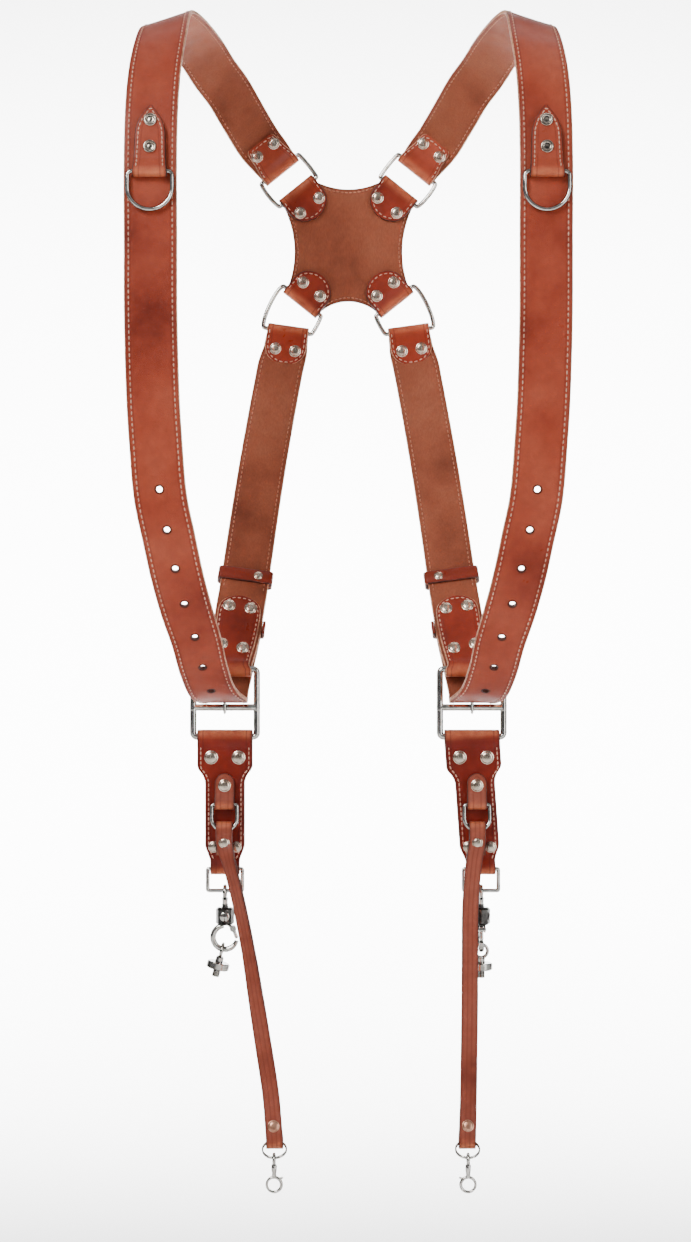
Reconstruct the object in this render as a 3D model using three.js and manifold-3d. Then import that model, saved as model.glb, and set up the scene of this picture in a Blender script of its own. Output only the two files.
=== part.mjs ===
// Leather harness worn over both shoulders, with a hanger and a safety tether at each hip.
// Millimetres, +Z up, the wearer faces -Y. The origin lies between the tops of the two
// shoulders, level with the inner face of the straps there.

import * as THREE from 'three';
import { mergeVertices } from 'three/addons/utils/BufferGeometryUtils.js';
import Module from 'manifold-3d';

const wasm = await Module();
wasm.setup();

// Clearances
const gap = 0.3;
const looseFit = 0.6;
const loopSlack = 1.2;

// Where the straps run, measured from the origin
const shoulderHalf = 134.6;
const chestHalf = 140.5;
const chestReach = 90;
const chestDrop = 175;
const hipHalf = 94.7;
const hipReach = 32;
const hipDrop = 487;
const yokeReach = 153;
const yokeDrop = 140;

// Leather
const strapWidth = 38;
const strapThickness = 3;
const thinLeather = 2.2;
const ringFoldWidth = 34;
const heelFoldWidth = 36;
const tailLength = 118;
const holeRadius = 2.1;
const holePitch = 29.5;
const holesAboveProng = 7;
const holesInTail = 2;

// Folded ends of the straps
const shoulderTabLength = 27;
const shoulderTabWidth = 24;
const backTabLength = 28;
const heelTabLength = 65.5;
const heelTabWidth = 33;
const keeperLeather = 1.8;
const keeperHeight = 11;
const upperKeeperAt = 86;
const lowerKeeperAt = 41;

// Yoke
const yokeWaistHalf = 44.6;
const yokeHeightHalf = 46.3;
const yokeArmAngle = 51.3;
const upperArmOut = 41.2;
const upperArmUp = 43.8;
const lowerArmOut = 37.7;
const lowerArmDown = 46;
const yokeArmWidth = 34.5;
const yokeTabLength = 26;
const yokeFoldReach = 22;
const yokeArmSpread = 2.4;
const yokePlateInset = 12;
const yokePlateFlare = 3.2;

// Rings of the yoke
const yokeWire = 1.5;
const upperRingSpan = 24.5;
const lowerRingSpan = 27.8;
const lowerRingLean = 26;
const lowerFoldTurn = 8;
const ringInnerBow = 1.6;
const upperRingOuterBow = 3;
const lowerRingOuterBow = 6.5;

// Chest tab and ring
const chestTabLength = 48;
const chestFoldWidth = 24.5;
const chestRingDrop = 132;
const chestWire = 1.5;
const chestRingHalf = 15.9;
const chestRingHeight = 27;

// Hip frame and prong
const frameWidth = 48.8;
const frameWire = 2.5;
const crossBarWire = 2.6;
const crossBarBelow = 29.3;
const bottomBarBelow = 51.7;
const frameCorner = 2.8;
const prongWire = 1.3;
const prongPast = 5;
const bendRadius = 9;

// Hanger
const hangerLength = 101.5;
const hangerTopWidth = 42.4;
const hangerWidth = 30.4;
const hangerFootWidth = 22.4;
const hangerLeather = 2.6;

// Small tab and ring on the hanger
const smallTabDrop = 51.5;
const smallTabLength = 23.5;
const smallTabWidth = 15;
const smallWire = 1.5;
const smallRingHalf = 9.7;
const smallRingHeight = 20;
const smallRingLean = 10;

// Link and snap hook
const linkWire = 1.5;
const linkWidth = 26.6;
const linkHeight = 16.7;
const linkCorner = 1;
const eyeRadius = 4.6;
const eyeWire = 1.5;
const stemRadius = 2.1;
const stemLength = 9.2;
const stemHeadRadius = 3.5;
const stemHeadHeight = 2.2;
const barrelRadius = 7;
const barrelHeight = 13.5;
const barrelWall = 2.4;
const clawRadius = 9.2;
const clawWire = 2.2;
const gateWire = 1.4;
const gatePin = 1.1;
const knuckleWall = 1.1;
const earRadius = 2.4;
const earWidth = 1.6;

// Screw that hangs in the hook
const screwRingRadius = 5;
const screwRingWire = 1.3;
const neckHeight = 4;
const neckRadius = 3;
const discRadius = 8.7;
const discHeight = 5.5;
const studRadius = 3.1;
const studLength = 6;

// Tether
const tetherWidth = 12.6;
const tetherThickness = 2;
const tetherLength = 225.5;
const splitRingRadius = 8.8;
const splitRingWire = 1.1;
const splitRingTilt = 30;
const claspLength = 25;
const claspWire = 1.2;
const claspBow = 5.4;
const claspEye = 2.6;

const DEG = Math.PI / 180;
const X = new THREE.Vector3(1, 0, 0);
const Y = new THREE.Vector3(0, 1, 0);
const Z = new THREE.Vector3(0, 0, 1);
const lerp = THREE.MathUtils.lerp;
const v = (x, y, z) => new THREE.Vector3(x, y, z);

// Materials
const leather = new THREE.MeshStandardMaterial({ color: 0x9c4026, roughness: 0.45, metalness: 0 });
const innerLeather = new THREE.MeshStandardMaterial({ color: 0x8a4a30, roughness: 0.75, metalness: 0 });
const nickel = new THREE.MeshStandardMaterial({ color: 0xd8d4cc, roughness: 0.22, metalness: 1 });
const darkSteel = new THREE.MeshStandardMaterial({ color: 0x2c2b2a, roughness: 0.4, metalness: 0.8 });

// Closed surfaces

function welded(geometry) {
  const plain = geometry.clone();
  plain.deleteAttribute('normal');
  plain.deleteAttribute('uv');
  return mergeVertices(plain, 1e-4);
}

function toSolid(geometry) {
  const plain = welded(geometry);
  return new wasm.Manifold(new wasm.Mesh({
    numProp: 3,
    vertProperties: new Float32Array(plain.attributes.position.array),
    triVerts: new Uint32Array(plain.index.array),
  }));
}

function fromSolid(solid) {
  const mesh = solid.getMesh();
  const geometry = new THREE.BufferGeometry();
  geometry.setAttribute('position', new THREE.BufferAttribute(mesh.vertProperties, 3));
  geometry.setIndex(new THREE.BufferAttribute(mesh.triVerts, 1));
  return geometry;
}

function joined(...geometries) {
  return fromSolid(geometries.map(toSolid).reduce((whole, piece) => whole.add(piece)));
}

function cut(geometry, ...tools) {
  return fromSolid(tools.map(toSolid).reduce((whole, tool) => whole.subtract(tool), toSolid(geometry)));
}

function common(first, second) {
  return fromSolid(toSolid(first).intersect(toSolid(second)));
}

// A body through rings of points, all with the same number of points, closed at both ends
function loft(rings) {
  const count = rings[0].length;
  const points = rings.flat();
  const faces = [];
  for (let ring = 0; ring + 1 < rings.length; ring += 1) {
    for (let side = 0; side < count; side += 1) {
      const here = ring * count + side;
      const next = ring * count + ((side + 1) % count);
      faces.push(here, next, next + count, here, next + count, here + count);
    }
  }
  const last = (rings.length - 1) * count;
  for (let side = 1; side + 1 < count; side += 1) {
    faces.push(0, side + 1, side);
    faces.push(last, last + side, last + side + 1);
  }
  const geometry = new THREE.BufferGeometry().setFromPoints(points);
  geometry.setIndex(faces);
  return geometry;
}

function basis(xAxis, yAxis, zAxis, origin) {
  return new THREE.Matrix4().makeBasis(xAxis, yAxis, zAxis).setPosition(origin);
}

// A rod between two points
function rod(from, to, radius, sides = 8) {
  const along = to.clone().sub(from);
  const turn = new THREE.Quaternion().setFromUnitVectors(Y, along.clone().normalize());
  return new THREE.CylinderGeometry(radius, radius, along.length(), sides)
    .applyQuaternion(turn)
    .translate(...from.clone().add(to).multiplyScalar(0.5).toArray());
}

// A flat closed loop of wire through spots in the (X, Z) plane, with mitred corners
function wireLoop(spots, radius, sides = 6) {
  const count = spots.length;
  const origin = new THREE.Vector2();
  const square = (from, to) => to.clone().sub(from).normalize().rotateAround(origin, -Math.PI / 2);
  const points = [];
  const faces = [];
  spots.forEach((spot, index) => {
    const before = square(spots[(index + count - 1) % count], spot);
    const after = square(spot, spots[(index + 1) % count]);
    const mitre = before.clone().add(after).normalize();
    const stretch = radius / mitre.dot(before);
    for (let side = 0; side < sides; side += 1) {
      const angle = (2 * Math.PI * (side + 0.5)) / sides;
      const reach = stretch * Math.cos(angle);
      points.push(v(spot.x + mitre.x * reach, radius * Math.sin(angle), spot.y + mitre.y * reach));
      const next = (index + 1) % count;
      const turn = (side + 1) % sides;
      const here = index * sides;
      const there = next * sides;
      faces.push(here + side, here + turn, there + turn, here + side, there + turn, there + side);
    }
  });
  const geometry = new THREE.BufferGeometry().setFromPoints(points);
  geometry.setIndex(faces);
  return geometry;
}

// Spots along an arc in the (X, Z) plane
function arcSpots(x, z, radius, from, to, steps) {
  const spots = [];
  for (let step = 0; step <= steps; step += 1) {
    const angle = lerp(from, to, step / steps) * DEG;
    spots.push(new THREE.Vector2(x + radius * Math.cos(angle), z + radius * Math.sin(angle)));
  }
  return spots;
}

// A closed ring of wire around an axis
function wireRing(radius, wire, axis, centre, steps = 16, sides = 6) {
  return new THREE.TorusGeometry(radius, wire, sides, steps)
    .applyQuaternion(new THREE.Quaternion().setFromUnitVectors(Z, axis))
    .translate(centre.x, centre.y, centre.z);
}

// A shape drawn across (Y, Z) and given a width along X, centred on X = 0
function sideProfile(shape, width, segments = 6) {
  return new THREE.ExtrudeGeometry(shape, { depth: width, bevelEnabled: false, curveSegments: segments })
    .translate(0, 0, -width / 2)
    .applyMatrix4(basis(Y, Z, X, v(0, 0, 0)));
}

// A shape drawn across (X, Z) and given a depth along Y, centred on Y = 0
function frontOutline(shape, depth, segments = 6) {
  return new THREE.ExtrudeGeometry(shape, { depth, bevelEnabled: false, curveSegments: segments })
    .translate(0, 0, -depth / 2)
    .applyMatrix4(basis(X, Z, v(0, -1, 0), v(0, 0, 0)));
}

// The direction across a strap that is banked by an angle, its right side up
function banked(angle) {
  return v(Math.cos(angle * DEG), 0, Math.sin(angle * DEG));
}

// A strap's route: rows hold a point, the direction across and half the width
function route(rows) {
  const curve = new THREE.CatmullRomCurve3(rows.map((row) => row.at), false, 'centripetal');
  const last = rows.length - 1;
  return (place) => {
    const share = THREE.MathUtils.clamp(place / last, 0, 1);
    const below = rows[Math.min(Math.floor(place), last)];
    const above = rows[Math.min(Math.floor(place) + 1, last)];
    const between = place - Math.floor(place);
    const at = curve.getPoint(share);
    const along = curve.getTangent(share);
    const across = below.across.clone().lerp(above.across, between);
    across.addScaledVector(along, -across.dot(along)).normalize();
    const out = across.clone().cross(along);
    return { at, along, across, out, half: lerp(below.half, above.half, between) };
  };
}

// A flat strap through frames, with a thickness across its outer normal
function strapThrough(frames, thickness) {
  const rings = frames.map(({ at, across, out, half }) => [
    [1, 1], [1, -1], [-1, -1], [-1, 1],
  ].map(([side, face]) => at.clone()
    .addScaledVector(across, side * half)
    .addScaledVector(out, face * thickness / 2)));
  return loft(rings);
}

function framesOf(rows, perRow = 2) {
  const follow = route(rows);
  const frames = [];
  for (let step = 0; step <= (rows.length - 1) * perRow; step += 1) {
    frames.push(follow(step / perRow));
  }
  return frames;
}

// Frame at a distance along a strap, counted from a frame's number
function frameAtDistance(frames, from, distance) {
  const step = Math.sign(distance) || 1;
  let left = Math.abs(distance);
  let here = from;
  while (frames[here + step]) {
    const length = frames[here].at.distanceTo(frames[here + step].at);
    if (length >= left) {
      const share = left / length;
      const [a, b] = [frames[here], frames[here + step]];
      return {
        at: a.at.clone().lerp(b.at, share),
        across: a.across.clone().lerp(b.across, share).normalize(),
        out: a.out.clone().lerp(b.out, share).normalize(),
      };
    }
    left -= length;
    here += step;
  }
  return frames[here];
}

// How far each layer of a fold stands from its middle plane: wide at the bar, close further on
function foldOpening(distance, wire, thickness) {
  const atBar = wire + gap + thickness / 2;
  const closed = (thickness + gap) / 2;
  return lerp(atBar, closed, THREE.MathUtils.smoothstep(distance, 0, atBar * 2.6));
}

const FOLD_STEPS = [0.62, 0.36, 0.16, 0];
const FOLD_ARC = [30, 60, 90, 120, 150];

// A flat plane through a bar, as frames at distances from the bar to the strap
function flatPlane(bar, along, across, behind) {
  return (distance) => ({ at: bar.clone().addScaledVector(along, distance), along, across, behind });
}

// Rows of a strap's end that goes round a bar at the start of a plane and back in front of it
function foldRows({ plane, wire, thickness, reach, halfAt, tab, tabLength, tabWidth }) {
  const rows = [];
  const row = (distance, side, half) => {
    const { at, across, behind } = plane(distance);
    const opening = side * foldOpening(distance, wire, thickness);
    rows.push({ at: at.clone().addScaledVector(behind, opening), across, half });
  };
  FOLD_STEPS.forEach((share) => row(reach * share, 1, halfAt(reach * share)));
  const turn = wire + gap + thickness / 2;
  const { at, along, across, behind } = plane(0);
  FOLD_ARC.forEach((angle) => rows.push({
    at: at.clone().addScaledVector(along, -turn * Math.sin(angle * DEG))
      .addScaledVector(behind, turn * Math.cos(angle * DEG)),
    across,
    half: halfAt(0),
  }));
  tab.forEach(({ up, wide }) => row(up * tabLength, -1, wide * tabWidth / 2));
  return rows;
}

// Ends of tabs: how far up and how wide, as shares of the tab's own length and width
const SQUARE_TAB = [
  { up: 0, wide: 1.4 }, { up: 0.12, wide: 1.36 }, { up: 0.3, wide: 1.22 },
  { up: 0.55, wide: 1.06 }, { up: 1, wide: 1 },
];
const ROUND_TAB = [
  { up: 0, wide: 1 }, { up: 0.14, wide: 1 }, { up: 0.36, wide: 1 }, { up: 0.6, wide: 0.97 },
  { up: 0.78, wide: 0.86 }, { up: 0.91, wide: 0.66 }, { up: 1, wide: 0.3 },
];
const LONG_ROUND_TAB = [
  { up: 0, wide: 1 }, { up: 0.06, wide: 1 }, { up: 0.16, wide: 1 }, { up: 0.5, wide: 1 },
  { up: 0.8, wide: 1 }, { up: 0.9, wide: 0.86 }, { up: 0.96, wide: 0.66 }, { up: 1, wide: 0.36 },
];

// Yoke and its rings, for the left side of the wearer's front view
const yokeCentre = v(0, yokeReach, -yokeDrop);
const armCos = Math.cos(yokeArmAngle * DEG);
const armSin = Math.sin(yokeArmAngle * DEG);
const upperArm = {
  bar: yokeCentre.clone().add(v(-upperArmOut, 0, upperArmUp)),
  outward: v(-armCos, 0, armSin),
  bank: 90 - yokeArmAngle,
};
const lowerArm = {
  bar: yokeCentre.clone().add(v(-lowerArmOut, 0, -lowerArmDown)),
  outward: v(-armCos, 0, -armSin),
  bank: yokeArmAngle - 90,
};

const upperStrapBar = upperArm.bar.clone().addScaledVector(upperArm.outward, upperRingSpan);
const lowerStrapBar = lowerArm.bar.clone().add(
  v(-Math.sin(lowerRingLean * DEG), 0, -Math.cos(lowerRingLean * DEG)).multiplyScalar(lowerRingSpan),
);
const backStrapDown = v(-Math.sin(lowerFoldTurn * DEG), 0, -Math.cos(lowerFoldTurn * DEG));

// A ring with two straight bars, one for each fold, and sides that bow out between them
function bowedRing(first, firstAlong, second, secondAlong, outerBow) {
  const barHalf = yokeArmWidth / 2 + gap + yokeWire;
  const end = (bar, along, extra) => {
    const place = bar.clone().addScaledVector(along, extra);
    return new THREE.Vector2(place.x, place.z);
  };
  const side = (hand, bow) => new THREE.CubicBezierCurve(
    end(first, firstAlong, hand * barHalf),
    end(first, firstAlong, hand * (barHalf + bow)),
    end(second, secondAlong, hand * (barHalf + bow)),
    end(second, secondAlong, hand * barHalf),
  ).getPoints(7);
  const spots = [...side(1, ringInnerBow), ...side(-1, outerBow).reverse()];
  const ring = wireLoop(THREE.ShapeUtils.isClockWise(spots) ? spots.reverse() : spots, yokeWire);
  return ring.translate(0, yokeReach, 0);
}

function makeUpperYokeRing() {
  const along = banked(90 - yokeArmAngle);
  return bowedRing(upperArm.bar, along, upperStrapBar, along, upperRingOuterBow);
}

function makeLowerYokeRing() {
  const along = banked(yokeArmAngle - 90);
  return bowedRing(lowerArm.bar, along, lowerStrapBar, banked(-lowerFoldTurn), lowerRingOuterBow);
}

function yokeArmBand(arm, side) {
  const mirror = (vector) => v(side * vector.x, vector.y, vector.z);
  const half = yokeArmWidth / 2;
  const rows = foldRows({
    plane: flatPlane(mirror(arm.bar), mirror(arm.outward).negate(), banked(side * arm.bank), Y),
    wire: yokeWire,
    thickness: strapThickness,
    reach: yokeFoldReach,
    halfAt: (distance) => lerp(half, half + yokeArmSpread, distance / yokeFoldReach),
    tab: ROUND_TAB,
    tabLength: yokeTabLength,
    tabWidth: yokeArmWidth,
  });
  return strapThrough(framesOf(rows, 1), strapThickness);
}

function makeYoke() {
  const flare = yokeArmWidth / 2 + yokePlateFlare;
  const corner = (arm, sideX, turn) => {
    const end = arm.bar.clone().sub(yokeCentre).addScaledVector(arm.outward, -yokePlateInset);
    const across = v(-arm.outward.z, 0, arm.outward.x).multiplyScalar(turn * flare);
    const place = end.add(across);
    return new THREE.Vector2(sideX * place.x, place.z);
  };
  const waist = (x, z) => new THREE.Vector2(x, z);
  const ring = [
    [corner(upperArm, 1, -1), corner(upperArm, -1, -1), waist(0, yokeHeightHalf)],
    [corner(upperArm, -1, 1), corner(lowerArm, -1, -1), waist(yokeWaistHalf, 0)],
    [corner(lowerArm, -1, 1), corner(lowerArm, 1, 1), waist(0, -yokeHeightHalf)],
    [corner(lowerArm, 1, -1), corner(upperArm, 1, 1), waist(-yokeWaistHalf, 0)],
  ];
  const shape = new THREE.Shape();
  ring.forEach(([from, to, middle], index) => {
    if (index === 0) shape.moveTo(from.x, from.y);
    else shape.lineTo(from.x, from.y);
    const control = middle.clone().multiplyScalar(2).sub(from.clone().add(to).multiplyScalar(0.5));
    shape.quadraticCurveTo(control.x, control.y, to.x, to.y);
  });
  shape.closePath();
  const plate = frontOutline(shape, strapThickness, 8)
    .translate(0, yokeReach + (strapThickness + gap) / 2, -yokeDrop);
  const arms = [upperArm, lowerArm].flatMap((arm) => [1, -1].map((side) => yokeArmBand(arm, side)));
  return joined(plate, ...arms);
}

// Back strap: from the heel bar of the hip frame up to the lower ring of the yoke
const heelBar = v(-hipHalf, hipReach, -hipDrop);
const heelShift = 2.4;
const backStrapFoot = heelBar.clone().add(v(heelShift, 0, 0));

// Shares of the way from the heel bar to the yoke's ring: inward, back and up
const BACK_STRAP = [
  { inward: 0, back: 0.03, up: 0.0195, bank: 0 },
  { inward: 0.1, back: 0.124, up: 0.081, bank: -4 },
  { inward: 0.175, back: 0.232, up: 0.164, bank: -7 },
  { inward: 0.254, back: 0.347, up: 0.251, bank: -9 },
  { inward: 0.393, back: 0.57, up: 0.428, bank: -10 },
  { inward: 0.552, back: 0.76, up: 0.608, bank: -10 },
  { inward: 0.742, back: 0.909, up: 0.791, bank: -9.5 },
  { inward: 0.87, back: 0.966, up: 0.9, bank: -9 },
];

function backStrapPlace({ inward, back, up }) {
  return v(
    lerp(backStrapFoot.x, lowerStrapBar.x, inward),
    lerp(backStrapFoot.y, lowerStrapBar.y, back),
    lerp(backStrapFoot.z, lowerStrapBar.z, up),
  );
}

// The strap's middle plane, as frames from the heel bar upward
const backPlane = framesOf([
  { at: backStrapFoot, across: X, half: 0 },
  ...BACK_STRAP.map((row) => ({ at: backStrapPlace(row), across: banked(row.bank), half: 0 })),
  { at: lowerStrapBar, across: banked(-lowerFoldTurn), half: 0 },
], 2);

function behindBackStrap(distance, offset) {
  const { at, across, out } = frameAtDistance(backPlane, 0, distance);
  const behind = out.clone().negate();
  const along = across.clone().cross(behind).normalize();
  return { at: at.clone().addScaledVector(behind, offset), along, across, behind };
}

function makeBackStrap() {
  const half = strapWidth / 2;
  const heelReach = 24;
  const upperReach = 26;
  const layer = (strapThickness + gap) / 2;
  const heelFold = foldRows({
    plane: (distance) => behindBackStrap(distance, 0),
    wire: frameWire,
    thickness: strapThickness,
    reach: heelReach,
    halfAt: (distance) => lerp(heelFoldWidth / 2, half, distance / heelReach),
    tab: LONG_ROUND_TAB,
    tabLength: heelTabLength,
    tabWidth: heelTabWidth,
  });
  const upperFold = foldRows({
    plane: flatPlane(lowerStrapBar, backStrapDown, banked(-lowerFoldTurn), Y),
    wire: yokeWire,
    thickness: strapThickness,
    reach: upperReach,
    halfAt: (distance) => lerp(ringFoldWidth / 2, half, distance / upperReach),
    tab: ROUND_TAB,
    tabLength: backTabLength,
    tabWidth: ringFoldWidth,
  });
  const middle = backPlane
    .filter(({ at }) => at.distanceTo(backStrapFoot) > heelReach)
    .filter(({ at }) => at.distanceTo(lowerStrapBar) > upperReach)
    .map(({ at, across, out }) => ({ at: at.clone().addScaledVector(out, -layer), across, half }));
  const rows = [...heelFold.reverse(), ...middle, ...upperFold];
  const strap = strapThrough(framesOf(rows, 1), strapThickness);
  const slotRadius = frameWire + gap + prongWire * 2 + looseFit;
  const slot = rod(
    heelBar.clone().add(v(-prongWire - looseFit, 0, 0)),
    heelBar.clone().add(v(prongWire + looseFit, 0, 0)),
    slotRadius,
    12,
  );
  return cut(strap, slot);
}

// Shoulder strap

// From the crest forward to the chest
const OVER_SHOULDER = [
  { out: 1, fore: 1, down: 1, bank: 0 },
  { out: 1.05, fore: 0.978, down: 0.709, bank: 0 },
  { out: 1, fore: 0.9, down: 0.48, bank: 2 },
  { out: 0.8, fore: 0.756, down: 0.303, bank: 5 },
  { out: 0.4, fore: 0.544, down: 0.152, bank: 10 },
  { out: 0.15, fore: 0.289, down: 0.048, bank: 16 },
  { out: 0, fore: 0, down: 0, bank: 20 },
];

// From the crest back to the yoke's upper ring
const DOWN_THE_BACK = [
  { inward: 0.091, back: 0.144, down: -0.002, bank: 22 },
  { inward: 0.242, back: 0.444, down: 0.063, bank: 24 },
  { inward: 0.353, back: 0.608, down: 0.184, bank: 28 },
  { inward: 0.49, back: 0.745, down: 0.324, bank: 31 },
  { inward: 0.604, back: 0.843, down: 0.489, bank: 33.5 },
];

// From the hip up to the chest: how far along from the chest to the hip on each axis
const TO_THE_HIP = [
  { inward: 0.838, back: 0.788, down: 1.035, bank: 6 },
  { inward: 0.72, back: 0.596, down: 1, bank: 7 },
  { inward: 0.629, back: 0.437, down: 0.955, bank: 8 },
  { inward: 0.489, back: 0.307, down: 0.906, bank: 7 },
  { inward: 0.37, back: 0.184, down: 0.856, bank: 6 },
  { inward: 0.26, back: 0.102, down: 0.801, bank: 5 },
  { inward: 0.145, back: 0.041, down: 0.743, bank: 3 },
  { inward: 0.077, back: 0.008, down: 0.661, bank: 1 },
  { inward: 0.04, back: 0, down: 0.602, bank: 0 },
  { inward: 0.005, back: -0.004, down: 0.482, bank: 0 },
];

// The loose bend of the strap under the heel bar, angles in the (Y, Z) plane
const BEND_ANGLES = [-18, -42, -66, -90, -113];
const TAIL_END = [
  { back: 0, wide: 0.12 }, { back: 5, wide: 0.5 }, { back: 13, wide: 0.86 }, { back: 24, wide: 1 },
];

const prongY = -(crossBarWire + gap + prongWire);
const bendCentre = heelBar.clone().add(v(0, prongY, 0));
bendCentre.z = -hipDrop - crossBarBelow + crossBarWire + gap + strapThickness / 2 + bendRadius + looseFit;

function shoulderStrapRows() {
  const half = strapWidth / 2;
  const tailOffset = (strapThickness + gap) * 1.5;
  const tail = [];
  const tailRow = (distance, wide) => {
    const { at, across } = behindBackStrap(distance, tailOffset);
    tail.push({ at, across, half: half * wide });
  };
  TAIL_END.forEach(({ back, wide }) => tailRow(tailLength - back, wide));
  const tailFoot = lowerKeeperAt - keeperHeight * 0.7;
  const tailRows = 6;
  for (let number = 1; number <= tailRows; number += 1) {
    tailRow(lerp(tailLength - TAIL_END.at(-1).back, tailFoot, number / tailRows), 1);
  }
  const bend = BEND_ANGLES.map((angle) => {
    const arm = v(0, Math.cos(angle * DEG), Math.sin(angle * DEG));
    return { at: bendCentre.clone().addScaledVector(arm, bendRadius), across: X, half };
  });
  const hip = TO_THE_HIP.map(({ inward, back, down, bank }) => ({
    at: v(-lerp(chestHalf, hipHalf, inward), lerp(-chestReach, hipReach, back), -down * hipDrop),
    across: banked(bank),
    half,
  }));
  const crestUp = strapThickness / 2;
  const front = OVER_SHOULDER.map(({ out, fore, down, bank }) => ({
    at: v(-lerp(shoulderHalf, chestHalf, out), -fore * chestReach, crestUp - down * (chestDrop + crestUp)),
    across: banked(bank),
    half,
  }));
  const back = DOWN_THE_BACK.map((row) => ({
    at: v(
      lerp(-shoulderHalf, upperStrapBar.x, row.inward),
      lerp(0, upperStrapBar.y, row.back),
      lerp(crestUp, upperStrapBar.z, row.down),
    ),
    across: banked(row.bank),
    half,
  }));
  const foldReach = 44;
  const widening = foldReach / 2;
  const fold = foldRows({
    plane: flatPlane(upperStrapBar, upperArm.outward, banked(upperArm.bank), Y),
    wire: yokeWire,
    thickness: strapThickness,
    reach: foldReach,
    halfAt: (distance) => lerp(ringFoldWidth / 2, half, Math.min(distance / widening, 1)),
    tab: SQUARE_TAB,
    tabLength: shoulderTabLength,
    tabWidth: shoulderTabWidth,
  });
  return { rows: [...tail, ...bend, ...hip, ...front, ...back, ...fold], prongRow: tail.length + 3 };
}

const shoulderRoute = shoulderStrapRows();
const shoulderFrames = framesOf(shoulderRoute.rows, 1);
const prongFrame = shoulderRoute.prongRow;

function punch({ at, out }, radius) {
  const reach = strapThickness;
  return rod(at.clone().addScaledVector(out, -reach), at.clone().addScaledVector(out, reach), radius);
}

function makeShoulderStrap() {
  const strap = strapThrough(shoulderFrames, strapThickness);
  const holes = [];
  for (let number = -holesInTail; number <= holesAboveProng; number += 1) {
    holes.push(punch(frameAtDistance(shoulderFrames, prongFrame, number * holePitch), holeRadius));
  }
  return cut(strap, ...holes);
}

// Hip frame, its cross bar and the prong, placed about the heel bar
function roundedLoop(width, height, corner, steps) {
  const half = width / 2 - corner;
  const low = corner - height;
  return [
    ...arcSpots(-half, -corner, corner, 90, 180, steps),
    ...arcSpots(-half, low, corner, 180, 270, steps),
    ...arcSpots(half, low, corner, 270, 360, steps),
    ...arcSpots(half, -corner, corner, 0, 90, steps),
  ];
}

function makeHipFrame() {
  const loop = roundedLoop(frameWidth, bottomBarBelow, frameCorner, 3);
  const bar = rod(v(-frameWidth / 2, 0, -crossBarBelow), v(frameWidth / 2, 0, -crossBarBelow), crossBarWire);
  return joined(wireLoop(loop, frameWire, 8), bar);
}

function makeProng() {
  const loopRadius = frameWire + gap + prongWire;
  const loop = wireRing(loopRadius, prongWire, X, v(0, 0, 0), 14);
  const pin = rod(v(0, prongY, 0), v(0, prongY, -crossBarBelow - prongPast), prongWire * 0.96, 6);
  return joined(loop, pin);
}

// Keepers round the back strap and the tail
function keeperFrame(distance) {
  const { at, across, behind, along } = behindBackStrap(distance, strapThickness + gap);
  return basis(across, behind, along, at);
}

function makeUpperKeeper() {
  const halfWide = strapWidth / 2 + gap + 0.1;
  const halfDeep = strapThickness + gap * 1.5;
  const outline = (wide, deep, PathClass) => {
    const path = new PathClass();
    path.moveTo(-wide, -deep);
    path.lineTo(wide, -deep);
    path.lineTo(wide, deep);
    path.lineTo(-wide, deep);
    path.closePath();
    return path;
  };
  const shape = outline(halfWide + keeperLeather, halfDeep + keeperLeather, THREE.Shape);
  shape.holes.push(outline(halfWide, halfDeep, THREE.Path));
  return new THREE.ExtrudeGeometry(shape, { depth: keeperHeight, bevelEnabled: false })
    .translate(0, 0, -keeperHeight / 2)
    .applyMatrix4(keeperFrame(upperKeeperAt));
}

function makeLowerKeeper() {
  const wide = strapWidth / 2 + gap + 0.1;
  const deep = strapThickness + gap * 1.5;
  const legEnd = -strapThickness - gap - 1;
  const shape = new THREE.Shape();
  shape.moveTo(-wide - keeperLeather, legEnd);
  shape.lineTo(-wide, legEnd);
  shape.lineTo(-wide, deep);
  shape.lineTo(wide, deep);
  shape.lineTo(wide, legEnd);
  shape.lineTo(wide + keeperLeather, legEnd);
  shape.lineTo(wide + keeperLeather, deep + keeperLeather);
  shape.lineTo(-wide - keeperLeather, deep + keeperLeather);
  shape.closePath();
  return new THREE.ExtrudeGeometry(shape, { depth: keeperHeight, bevelEnabled: false })
    .translate(0, 0, -keeperHeight / 2)
    .applyMatrix4(keeperFrame(lowerKeeperAt));
}

// Chest tab and its ring, which lie on the front of the shoulder strap
const CHEST_TAB = [
  { up: 0, wide: 1 }, { up: 0.1, wide: 0.95 }, { up: 0.24, wide: 0.92 }, { up: 0.46, wide: 0.9 },
  { up: 0.64, wide: 0.86 }, { up: 0.78, wide: 0.68 }, { up: 0.91, wide: 0.34 }, { up: 1, wide: 0.06 },
];

const chestRingY = strapThickness / 2 + looseFit + thinLeather + gap + chestWire;

// The strap's last frame below the chest ring's bar, and how far the bar lies above it
const aboveChest = ({ at }, index) => index > prongFrame && at.z > -chestRingDrop;
const chestStart = shoulderFrames.findIndex(aboveChest) - 1;
const [belowRing, aboveRing] = shoulderFrames.slice(chestStart, chestStart + 2).map(({ at }) => at);
const chestShare = (-chestRingDrop - belowRing.z) / (aboveRing.z - belowRing.z);
const chestShift = belowRing.distanceTo(aboveRing) * chestShare;

function chestFrame(distance) {
  return frameAtDistance(shoulderFrames, chestStart, distance + chestShift);
}

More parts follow.
